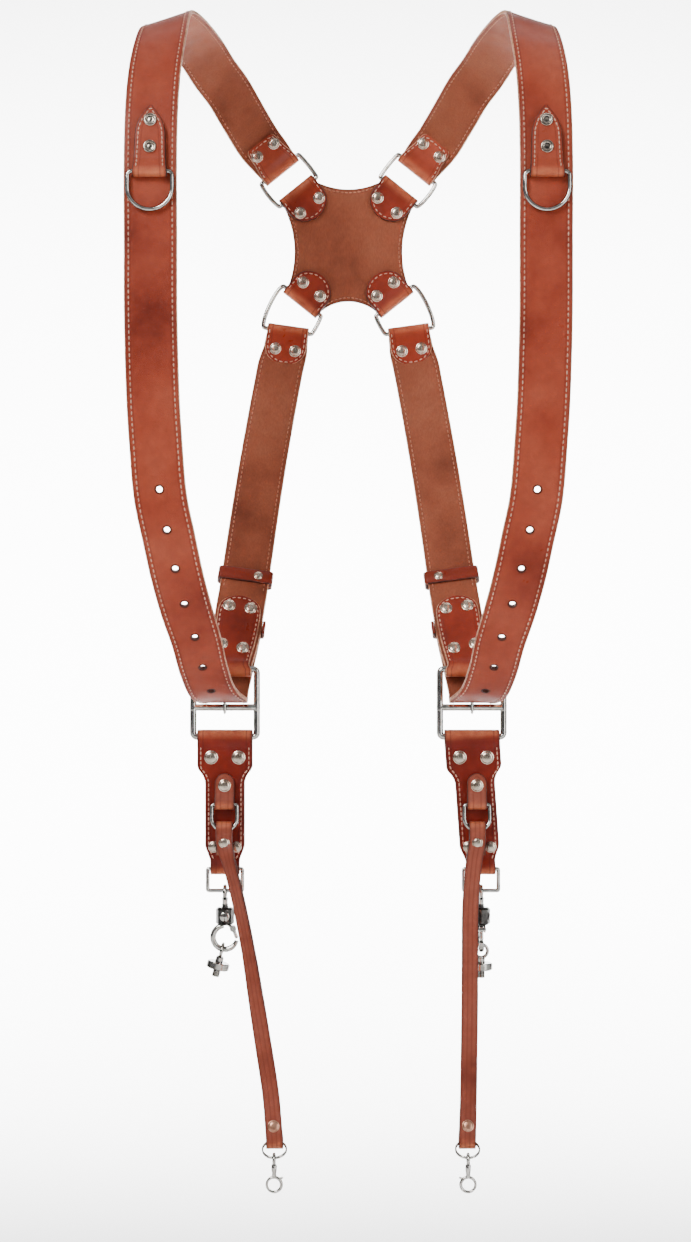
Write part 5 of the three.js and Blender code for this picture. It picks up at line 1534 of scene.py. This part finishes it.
def hanger_frames(sway):
    """Once round: up the back layer, over the frame's bar, down the front and round the link."""
    bottom = HEEL_BAR + vec(0, 0, -BOTTOM_BAR_BELOW)
    top_turn = FRAME_WIRE + GAP + HANGER_LEATHER / 2
    foot_turn = LINK_WIRE + GAP + HANGER_LEATHER / 2
    layer = HANGER_LEATHER / 2 + 0.02

    def opening(z):
        from_top = mix(top_turn, layer, smoothstep(z, 1.0, top_turn * 2.6))
        from_foot = mix(foot_turn, layer, smoothstep(HANGER_LENGTH - z, 0.6, foot_turn * 2.8))
        return max(from_top, from_foot)

    stops = []

    def stop(y, z):
        down = z / HANGER_LENGTH
        shift = -sway * min(max(down, 0), 1) * HANGER_LENGTH
        stops.append(row(bottom + vec(shift, y, -z), X_AXIS, hanger_half(down)))

    levels = np.concatenate([
        np.linspace(0, 22, 12)[:-1], np.linspace(22, 90, 36)[:-1], np.linspace(90, HANGER_LENGTH, 8)])
    for z in levels[::-1]:
        stop(opening(z), z)
    for angle in range(15, 180, 15):
        stop(top_turn * cos(radians(angle)), -top_turn * sin(radians(angle)))
    for z in levels:
        stop(-opening(z), z)
    for angle in range(15, 180, 15):
        stop(-foot_turn * cos(radians(angle)), HANGER_LENGTH + foot_turn * sin(radians(angle)))
    return straightened(stops + [stops[0]])


def make_hanger(side, hand, sway):
    frames = hanger_frames(sway)
    face = front_side(frames, len(frames) * 3 // 4)
    mesh = band_mesh("hanger", frames, HANGER_LEATHER, face, (HANGER_RED, FLESH, DARK_EDGE), hand)
    leather_piece(f"hanger_{side}", mesh)
    lines = []
    bottom = HEEL_BAR + vec(0, 0, -BOTTOM_BAR_BELOW)
    for face in (-1, 1):
        for turn in (-1, 1):
            line = []
            for z in np.linspace(9, 92, 80):
                half = hanger_half(z / HANGER_LENGTH) - HANGER_INSET
                above = face * (HANGER_LEATHER + HANGER_STITCH_LIFT)
                line.append(bottom + vec(-sway * z + turn * half, above, -z))
            lines.append(line)
    sew(f"hanger_{side}_stitches", lines, hand, "harness", 13, HANGER_PITCH)
    heads = []
    for z, spread, share in HANGER_RIVETS:
        for turn in (-1, 1):
            for face in (-1, 1):
                above = face * (HANGER_LEATHER + HANGER_RIVET_LIFT)
                at = bottom + vec(-sway * z + turn * spread, above, -z)
                heads.append((at, vec(0, face, 0), share))
    rivets(f"hanger_{side}_rivets", heads, hand, "harness")


SMALL_RING_Y = -(HANGER_LEATHER + GAP + THIN_LEATHER + GAP + SMALL_WIRE)


def make_small_tab(side, hand, sway):
    """A short strip folded round the small ring and riveted on the hanger's face."""
    place = HEEL_BAR + vec(-sway * SMALL_TAB_DROP, SMALL_RING_Y, -BOTTOM_BAR_BELOW - SMALL_TAB_DROP)
    turn = SMALL_WIRE + GAP + THIN_LEATHER / 2
    wide = SMALL_TAB_WIDTH / 2
    straight = SMALL_TAB_LENGTH - wide

    def half_at(z):
        return wide if z < straight else sqrt(max(wide ** 2 - (z - straight) ** 2, 0.3))

    levels = np.concatenate([
        np.linspace(0, straight, 14)[:-1], straight + wide * np.sin(np.radians(np.linspace(0, 86, 10)))])
    stops = [row(place + vec(0, turn, z), X_AXIS, half_at(z)) for z in levels[::-1]]
    for angle in np.radians(range(15, 180, 15)):
        stops.append(row(place + vec(0, turn * cos(angle), -turn * sin(angle)), X_AXIS, wide))
    closed = turn - THIN_LEATHER - 0.05
    for z in levels:
        y = mix(-turn, closed, smoothstep(z, 0.8, turn * 3.6))
        stops.append(row(place + vec(0, y, z), X_AXIS, half_at(z)))
    frames = straightened(stops)
    leathers = (TETHER_GRAIN, FLESH, DARK_EDGE)
    mesh = band_mesh("tab", frames, THIN_LEATHER, front_side(frames), leathers, hand, 0.6)
    leather_piece(f"small_tab_{side}", mesh)
    at = place + vec(0, closed - THIN_LEATHER / 2, SMALL_TAB_RIVET_UP)
    rivets(f"small_tab_{side}_rivet", [(at, -Y_AXIS, SMALL_TAB_RIVET_SHARE)], hand, "harness")
    points = np.array(d_ring(SMALL_RING_HALF, SMALL_RING_HEIGHT, wide + GAP / 2))
    points = turned(points, X_AXIS, -SMALL_RING_LEAN) + place
    normal = turned(Y_AXIS, X_AXIS, -SMALL_RING_LEAN)[0]
    metal_piece(f"small_ring_{side}", [wire(handed(points, hand), SMALL_WIRE, normal)])
    return place


def make_link_and_hook(side, hand, sway, hook_turn, screw_tilt):
    """The link in the hanger's foot, and the swivel hook's eye, barrel, claw, gate and screw."""
    top = HEEL_BAR + vec(-sway * HANGER_LENGTH, 0, -BOTTOM_BAR_BELOW - HANGER_LENGTH)
    loop = np.array(rounded_loop(LINK_WIDTH, LINK_HEIGHT, LINK_CORNER, 4)) + top
    metal_piece(f"link_{side}", [wire(handed(loop, hand), LINK_WIRE, Y_AXIS)], body=f"link_{side}_body")

    centre = top + vec(0, 0, -LINK_HEIGHT)
    eye_drop = EYE_RADIUS - EYE_WIRE - LINK_WIRE - GAP
    barrel_top = -(eye_drop + EYE_RADIUS + STEM_LENGTH - BARREL_WALL)
    barrel_bottom = barrel_top - BARREL_HEIGHT
    claw = vec(0, 0, barrel_bottom - CLAW_RADIUS - 0.5)

    eye_centre = vec(0, 0, -eye_drop)
    eye = ring_points(eye_centre, EYE_RADIUS, Y_AXIS, Z_AXIS, 40)
    stem_top = -eye_drop - EYE_RADIUS
    head_top = barrel_top - BARREL_WALL - GAP
    stem = lathe([(STEM_RADIUS * 1.25, 0), (STEM_RADIUS, 1.4), (STEM_RADIUS, stem_top - head_top)],
                 (0, 0, stem_top + 0.4), -Z_AXIS, 24)
    head = pin((0, 0, head_top), (0, 0, head_top - STEM_HEAD_HEIGHT), STEM_HEAD_RADIUS)
    parts = [wire(eye, EYE_WIRE, X_AXIS), stem, head]
    placed(f"hook_eye_{side}", parts, centre, hand, 0, f"hook_eye_{side}_body")

    def claw_point(angle):
        return claw + vec(CLAW_RADIUS * cos(radians(angle)), 0, CLAW_RADIUS * sin(radians(angle)))

    throat, shoulder = STEM_RADIUS + GAP, BARREL_RADIUS - BARREL_BEVEL
    barrel = lathe([
        (throat, -BARREL_WALL), (throat, 0), (shoulder, 0), (BARREL_RADIUS, 1.5),
        (BARREL_RADIUS, BARREL_HEIGHT - 1.5), (shoulder, BARREL_HEIGHT), (STEM_HEAD_RADIUS, BARREL_HEIGHT),
        (0, BARREL_HEIGHT - 0.3),
    ], (0, 0, barrel_top), -Z_AXIS, BARREL_SIDES)
    flat = BARREL_RADIUS * cos(pi / BARREL_SIDES) - BOSS_RISE / 2
    boss_profile = [(BOSS_RADIUS, 0), (BOSS_RADIUS, BOSS_RISE / 2), (3.0, 0.9), (0, BOSS_RISE)]
    boss = [lathe(boss_profile, (0, face * flat, (barrel_top + barrel_bottom) / 2), vec(0, face, 0), 24)
            for face in (-1, 1)]
    angles = np.linspace(*CLAW_ANGLES, 60)
    radii = [CLAW_WIRE * (1 - 0.25 * smoothstep(angle, 290, CLAW_ANGLES[1])) for angle in angles]
    hook = wire([claw_point(angle) for angle in angles], radii, Y_AXIS, False, 18)
    hinge = claw_point(GATE_HINGE_ANGLE)
    near = GATE_WIRE + GAP
    middle, past = near + EAR_WIDTH / 2, near + 1.9
    ears = [pin(hinge + vec(0, face * near, 0), hinge + vec(0, face * (near + EAR_WIDTH), 0), EAR_RADIUS)
            for face in (-1, 1)]
    hinge_pin = pin(hinge - vec(0, past, 0), hinge + vec(0, past, 0), GATE_PIN, 16)
    cheeks = []
    for face in (-1, 1):
        start = vec(1.5, face * middle, barrel_bottom + 1)
        cheeks.append(pin(start, hinge + vec(0, face * middle, 0), CHEEK_RADIUS, 12))
    parts = [barrel, *boss, hook, *ears, hinge_pin, *cheeks]
    kinds = [1] + [0] * (len(parts) - 1)
    body = f"hook_{side}_body"
    placed(f"hook_body_{side}", parts, centre, hand, hook_turn, body, (NICKEL, DARK_METAL), kinds)

    arm = claw_point(GATE_TIP_ANGLE) - hinge
    length = np.linalg.norm(arm)
    gate = lathe([(GATE_WIRE, 0), (GATE_WIRE, length - 0.6), (GATE_WIRE * 0.6, length)], hinge, arm, 16)
    half = vec(0, GATE_WIRE, 0)
    knuckle = pin(hinge - half, hinge + half, GATE_PIN + GAP + KNUCKLE_WALL)
    placed(f"hook_gate_{side}", [gate, knuckle], centre, hand, hook_turn, f"gate_{side}_body")

    ring_top = -CLAW_RADIUS + CLAW_WIRE + GAP + SCREW_RING_WIRE
    ring_centre = vec(0, 0, ring_top - SCREW_RING_RADIUS)
    ring = ring_points(ring_centre, SCREW_RING_RADIUS, Y_AXIS, Z_AXIS, 40)
    neck_top = ring_centre[2] - SCREW_RING_RADIUS
    disc_top = neck_top - NECK_HEIGHT
    neck = lathe([
        (NECK_RADIUS * 0.8, -0.6), (NECK_RADIUS * 0.8, 0), (NECK_RADIUS, 0.6), (NECK_RADIUS, NECK_HEIGHT),
    ], (0, 0, neck_top), -Z_AXIS, 24)
    disc = lathe([(DISC_RADIUS - 0.9, 0), (DISC_RADIUS, 0.7), (DISC_RADIUS, DISC_HEIGHT - 0.7),
                  (DISC_RADIUS - 0.9, DISC_HEIGHT)], (0, 0, disc_top), -Z_AXIS, 40)
    thread_profile, root = [(STUD_RADIUS - 0.3, 0)], STUD_RADIUS - THREAD_DEPTH
    for turn in range(THREAD_TURNS):
        z = 0.4 + turn * THREAD_PITCH
        thread_profile += [(root, z), (STUD_RADIUS, z + 0.45), (STUD_RADIUS, z + 0.6), (root, z + 1.0)]
    thread_profile.append((STUD_RADIUS - 0.6, STUD_LENGTH))
    stud = lathe(thread_profile, (0, 0, disc_top - DISC_HEIGHT), -Z_AXIS, 24)
    parts = [wire(ring, SCREW_RING_WIRE, X_AXIS), neck, disc, stud]
    parts = [(turned(p, Y_AXIS, screw_tilt) + claw, f) for p, f in parts]
    placed(f"mount_screw_{side}", parts, centre, hand, hook_turn, body)


def placed(node, parts, centre, hand, turn, body, materials=None, kinds=None):
    """Bodies drawn about a hook's own centre, mirrored for their side, turned and put in place."""
    spots = [(turned(handed(p, hand), Z_AXIS, turn) + handed(centre, hand), f) for p, f in parts]
    mesh = joined_mesh(node, spots, materials or [NICKEL], HOOK_SHARP, kinds)
    link_piece(f"{node}_metal", mesh, body, node)


# Tethers: how far down, inward and forward, as shares of the tether's length
TETHER_ROUTES = {
    "left": [(0.1, 0.016, 0.02), (0.22, 0.048, 0.046), (0.388, 0.085, 0.085), (0.545, 0.113, 0.125),
             (0.7, 0.14, 0.16), (0.855, 0.165, 0.185), (1, 0.178, 0.2)],
    "right": [(0.1, 0.012, 0.02), (0.24, 0.026, 0.05), (0.4, 0.03, 0.085), (0.56, 0.033, 0.125),
              (0.72, 0.037, 0.16), (0.88, 0.041, 0.185), (1, 0.046, 0.2)],
}


def make_tether(side, hand, ring_place, twist):
    """The tether from the small ring down to its split ring, with its rivets and clasp."""
    bow = turned(vec(0, 0, -SMALL_RING_HEIGHT), X_AXIS, -SMALL_RING_LEAN)[0] + ring_place
    half = TETHER_WIDTH / 2
    layer = (TETHER_THICK + GAP) / 2
    ring_sag = SMALL_RING_HALF - sqrt(SMALL_RING_HALF ** 2 - half ** 2)
    split_sag = SPLIT_RING_RADIUS - sqrt(SPLIT_RING_RADIUS ** 2 - half ** 2)
    top_turn = SMALL_WIRE + LOOP_SLACK + TETHER_THICK / 2
    low_turn = SPLIT_RING_WIRE + LOOP_SLACK + (split_sag + TETHER_THICK) / 2

    def at(share, shift=0.0):
        down, inward, fore = share
        return vec(inward * TETHER_LENGTH, -fore * TETHER_LENGTH + shift, -down * TETHER_LENGTH)

    end = at(TETHER_ROUTES[side][-1])
    loop_centre = end + vec(0, -split_sag / 2, 0)
    rows = [
        row((0, layer * 1.1 - 0.1, -19), X_AXIS, half), row((0, layer * 1.3, -10), X_AXIS, half),
        row((0, top_turn, -SMALL_WIRE - GAP), X_AXIS, half),
    ]
    for angle in np.radians((0, 45, 90, 135, 180)):
        rows.append(row((0, top_turn * cos(angle), ring_sag + top_turn * sin(angle)), X_AXIS, half))
    rows.append(row((0, -top_turn, -SMALL_WIRE - GAP), X_AXIS, half))
    rows.append(row((0, -layer * 1.3, -9), X_AXIS, half))
    for share in TETHER_ROUTES[side][:-1]:
        turned_by = radians(twist) * smoothstep(share[0], 0, 0.12) * (1 - smoothstep(share[0], 0.3, 0.86))
        rows.append(row(at(share, -layer), vec(cos(turned_by), -sin(turned_by), 0), half))
    for angle in (180, 225, 270, 315, 360):
        arm = vec(0, low_turn * cos(radians(angle)), low_turn * sin(radians(angle)))
        rows.append(row(loop_centre + arm, X_AXIS, half))
    slope = (end - at(TETHER_ROUTES[side][-2])) / (TETHER_LENGTH * (1 - TETHER_ROUTES[side][-2][0]))
    for up in (8, 20):
        rows.append(row(loop_centre - slope * up + vec(0, layer * 1.3, 0), X_AXIS, half))
    for item in rows:
        item["at"] = item["at"] + bow
    frames = frames_of(rows, 1.6)
    face = front_side(frames, len(frames) // 2)
    mesh = band_mesh("tether", frames, TETHER_THICK, face, (TETHER_GRAIN, FLESH, DARK_EDGE), hand, 0.55)
    leather_piece(f"tether_{side}", mesh)
    for name, height, share, metal in (
            ("upper", bow[2] - TETHER_RIVET_DROP, 0.86, RIVET_NICKEL),
            ("lower", (end + bow)[2] + TETHER_RIVET_RISE, 0.9, COPPER)):
        spot = nearest_front(frames, height)
        outward = unit(spot["out"]) * face
        heads = [(spot["at"] + outward * TETHER_THICK / 2, outward, share)]
        rivets(f"tether_{side}_rivet_{name}", heads, hand, "harness", metal)

    tilt = SPLIT_RING_TILT
    low = end + bow
    ring_centre = low + turned(vec(0, -SPLIT_RING_RADIUS, 0), X_AXIS, tilt)[0]
    normal = turned(Z_AXIS, X_AXIS, tilt)[0]
    circle = ring_points(vec(0, 0, 0), SPLIT_RING_RADIUS, X_AXIS, Y_AXIS, 48)
    circle = turned(circle, X_AXIS, tilt) + ring_centre
    coil = [wire(circle + normal * shift, SPLIT_RING_WIRE * 0.55, normal, sides=10)
            for shift in (-SPLIT_RING_WIRE * 0.52, SPLIT_RING_WIRE * 0.52)]
    metal_piece(f"split_ring_{side}", coil, hand)

    hang = ring_centre + turned(vec(0, -SPLIT_RING_RADIUS, 0), X_AXIS, tilt)[0]
    make_clasp(side, hand, hang)


def nearest_front(frames, height):
    """The frame at a height on a tether's front layer."""
    front = [spot for spot in frames if spot["along"][2] < -0.5]
    return min(front, key=lambda spot: abs(spot["at"][2] - height))


def make_clasp(side, hand, hang):
    """The small clasp: an eye on the split ring, a waist, a round bow and its lever."""
    drop = CLASP_EYE - SPLIT_RING_WIRE - GAP
    eye = ring_points(vec(0, 0, -drop), CLASP_EYE + CLASP_WIRE, Y_AXIS, Z_AXIS, 32)
    bow_centre = -CLASP_LENGTH + CLASP_BOW
    waist_top = -drop - CLASP_EYE - CLASP_WIRE
    waist_length = waist_top - bow_centre - CLASP_BOW
    waist = lathe([(CLASP_WIRE, -0.6), (CLASP_WIRE * 1.7, 0.4), (CLASP_WIRE * 1.7, waist_length * 0.4),
                   (CLASP_WIRE * 1.3, waist_length * 0.7), (CLASP_WIRE * 1.5, waist_length + 0.8)],
                  (0, 0, waist_top), -Z_AXIS, 20)
    angles = np.linspace(0, 2 * pi, 41)[:-1]
    radii = [CLASP_WIRE * (1.0 - 0.22 * (1 + cos(a - radians(200))) / 2) for a in angles]
    bow = [vec(CLASP_BOW * cos(a), 0, bow_centre + CLASP_BOW * sin(a)) for a in angles]
    lever = lathe([(0.5, 0), (0.75, 0.3), (0.75, 2.4), (0.4, 2.8)],
                  (CLASP_BOW * 0.75, 0, bow_centre + CLASP_BOW * 0.8), unit(vec(1, 0, 0.35)), 12)
    parts = [wire(eye, CLASP_WIRE, X_AXIS), waist, wire(bow, radii, Y_AXIS), lever]
    metal_piece(f"clasp_{side}", [(points + hang, faces) for points, faces in parts], hand)


make_yoke()
for side, facts in SIDES.items():
    hand, sway = facts["hand"], facts["sway"]
    make_shoulder_strap(side, hand)
    make_back_strap(side, hand)
    make_keepers(side, hand)
    make_chest_tab(side, hand)
    make_chest_ring(side, hand)
    make_yoke_rings(side, hand)
    make_hip_frame(side, hand)
    make_prong(side, hand)
    make_hanger(side, hand, sway)
    ring_place = make_small_tab(side, hand, sway)
    make_link_and_hook(side, hand, sway, facts["hook_turn"], facts["screw_tilt"])
    make_tether(side, hand, ring_place, facts["twist"])


# Floor and light, in metres and watts
FLOOR_Z, FLOOR_FRONT, FLOOR_HALF = -1.15, -6.0, 6.0
WALL_Y, WALL_TOP, WALL_BEND = 2.6, 4.5, 1.2
PAINT_SHADE, PAINT_ROUGHNESS = 0.86, 0.9
HARNESS_MIDDLE = (0, 0, -0.4)
# Lamps: place, what it aims at, size, power and spread in degrees
LAMPS = {
    "key": ((-1.3, -2.2, 1.3), HARNESS_MIDDLE, (0.9, 1.3), 64, 180),
    "fill": ((1.9, -1.9, -0.1), HARNESS_MIDDLE, (0.8, 2.0), 24, 180),
    "top": ((0.2, 0.6, 1.9), HARNESS_MIDDLE, (1.6, 0.6), 9, 180),
    "wall left": ((-1.7, 0.9, 0.5), (-0.1, 2.5, -0.7), (0.8, 1.6), 190, 96),
    "wall right": ((1.7, 0.9, 0.5), (0.1, 2.5, -0.7), (0.8, 1.6), 190, 96),
}
# The sky's shade by height, 0 below to 1 above
SKY_LOW, SKY_TOP, SKY_STRENGTH = (0.3, 0.29, 0.28, 1), (0.42, 0.42, 0.43, 1), 0.8
SKY_BANDS = [(0.42, 0.1), (0.58, 0.2), (0.8, 0.3)]


def make_stage():
    """A pale floor that curves up into a wall behind."""
    bend_y, bend_z = WALL_Y - WALL_BEND, FLOOR_Z + WALL_BEND
    profile = [(FLOOR_FRONT, FLOOR_Z), (bend_y, FLOOR_Z)]
    for angle in np.radians(np.linspace(-90, 0, 13)[1:]):
        profile.append((bend_y + WALL_BEND * cos(angle), bend_z + WALL_BEND * sin(angle)))
    profile.append((WALL_Y, WALL_TOP))
    points = [(x, y, z) for y, z in profile for x in (-FLOOR_HALF, FLOOR_HALF)]
    faces = [(2 * i, 2 * i + 1, 2 * i + 3, 2 * i + 2) for i in range(len(profile) - 1)]
    mesh = bpy.data.meshes.new("sweep")
    mesh.from_pydata(points, [], faces)
    mesh.polygons.foreach_set("use_smooth", [True] * len(mesh.polygons))
    paint = bpy.data.materials.new("pale paint")
    paint.use_nodes = True
    shader = next(n for n in paint.node_tree.nodes if n.type == "BSDF_PRINCIPLED")
    shader.inputs["Base Color"].default_value = (PAINT_SHADE, PAINT_SHADE, PAINT_SHADE, 1)
    shader.inputs["Roughness"].default_value = PAINT_ROUGHNESS
    mesh.materials.append(paint)
    in_scene("floor", mesh)


def area_light(name, place, aim, size, power, spread):
    data = bpy.data.lights.new(name, "AREA")
    data.shape = "RECTANGLE"
    data.size, data.size_y = size
    data.energy = power
    data.spread = radians(spread)
    lamp = in_scene(name, data)
    lamp.location = place
    lamp.rotation_euler = (Vector(aim) - Vector(place)).to_track_quat("-Z", "Y").to_euler()


def set_lights():
    for name, facts in LAMPS.items():
        area_light(name, *facts)
    world = bpy.data.worlds.new("studio")
    world.use_nodes = True
    nodes, links = world.node_tree.nodes, world.node_tree.links
    coords = nodes.new("ShaderNodeTexCoord")
    split = nodes.new("ShaderNodeSeparateXYZ")
    ramp = nodes.new("ShaderNodeValToRGB")
    bands = ramp.color_ramp.elements
    for place, shade in SKY_BANDS:
        bands.new(place).color = (shade, shade, shade * 1.03, 1)
    bands[0].color, bands[-1].color = SKY_LOW, SKY_TOP
    height = nodes.new("ShaderNodeMapRange")
    height.inputs["From Min"].default_value = -1
    links.new(coords.outputs["Generated"], split.inputs["Vector"])
    links.new(split.outputs["Z"], height.inputs["Value"])
    links.new(height.outputs["Result"], ramp.inputs["Fac"])
    links.new(ramp.outputs["Color"], nodes["Background"].inputs["Color"])
    nodes["Background"].inputs["Strength"].default_value = SKY_STRENGTH
    bpy.context.scene.world = world


make_stage()
set_lights()
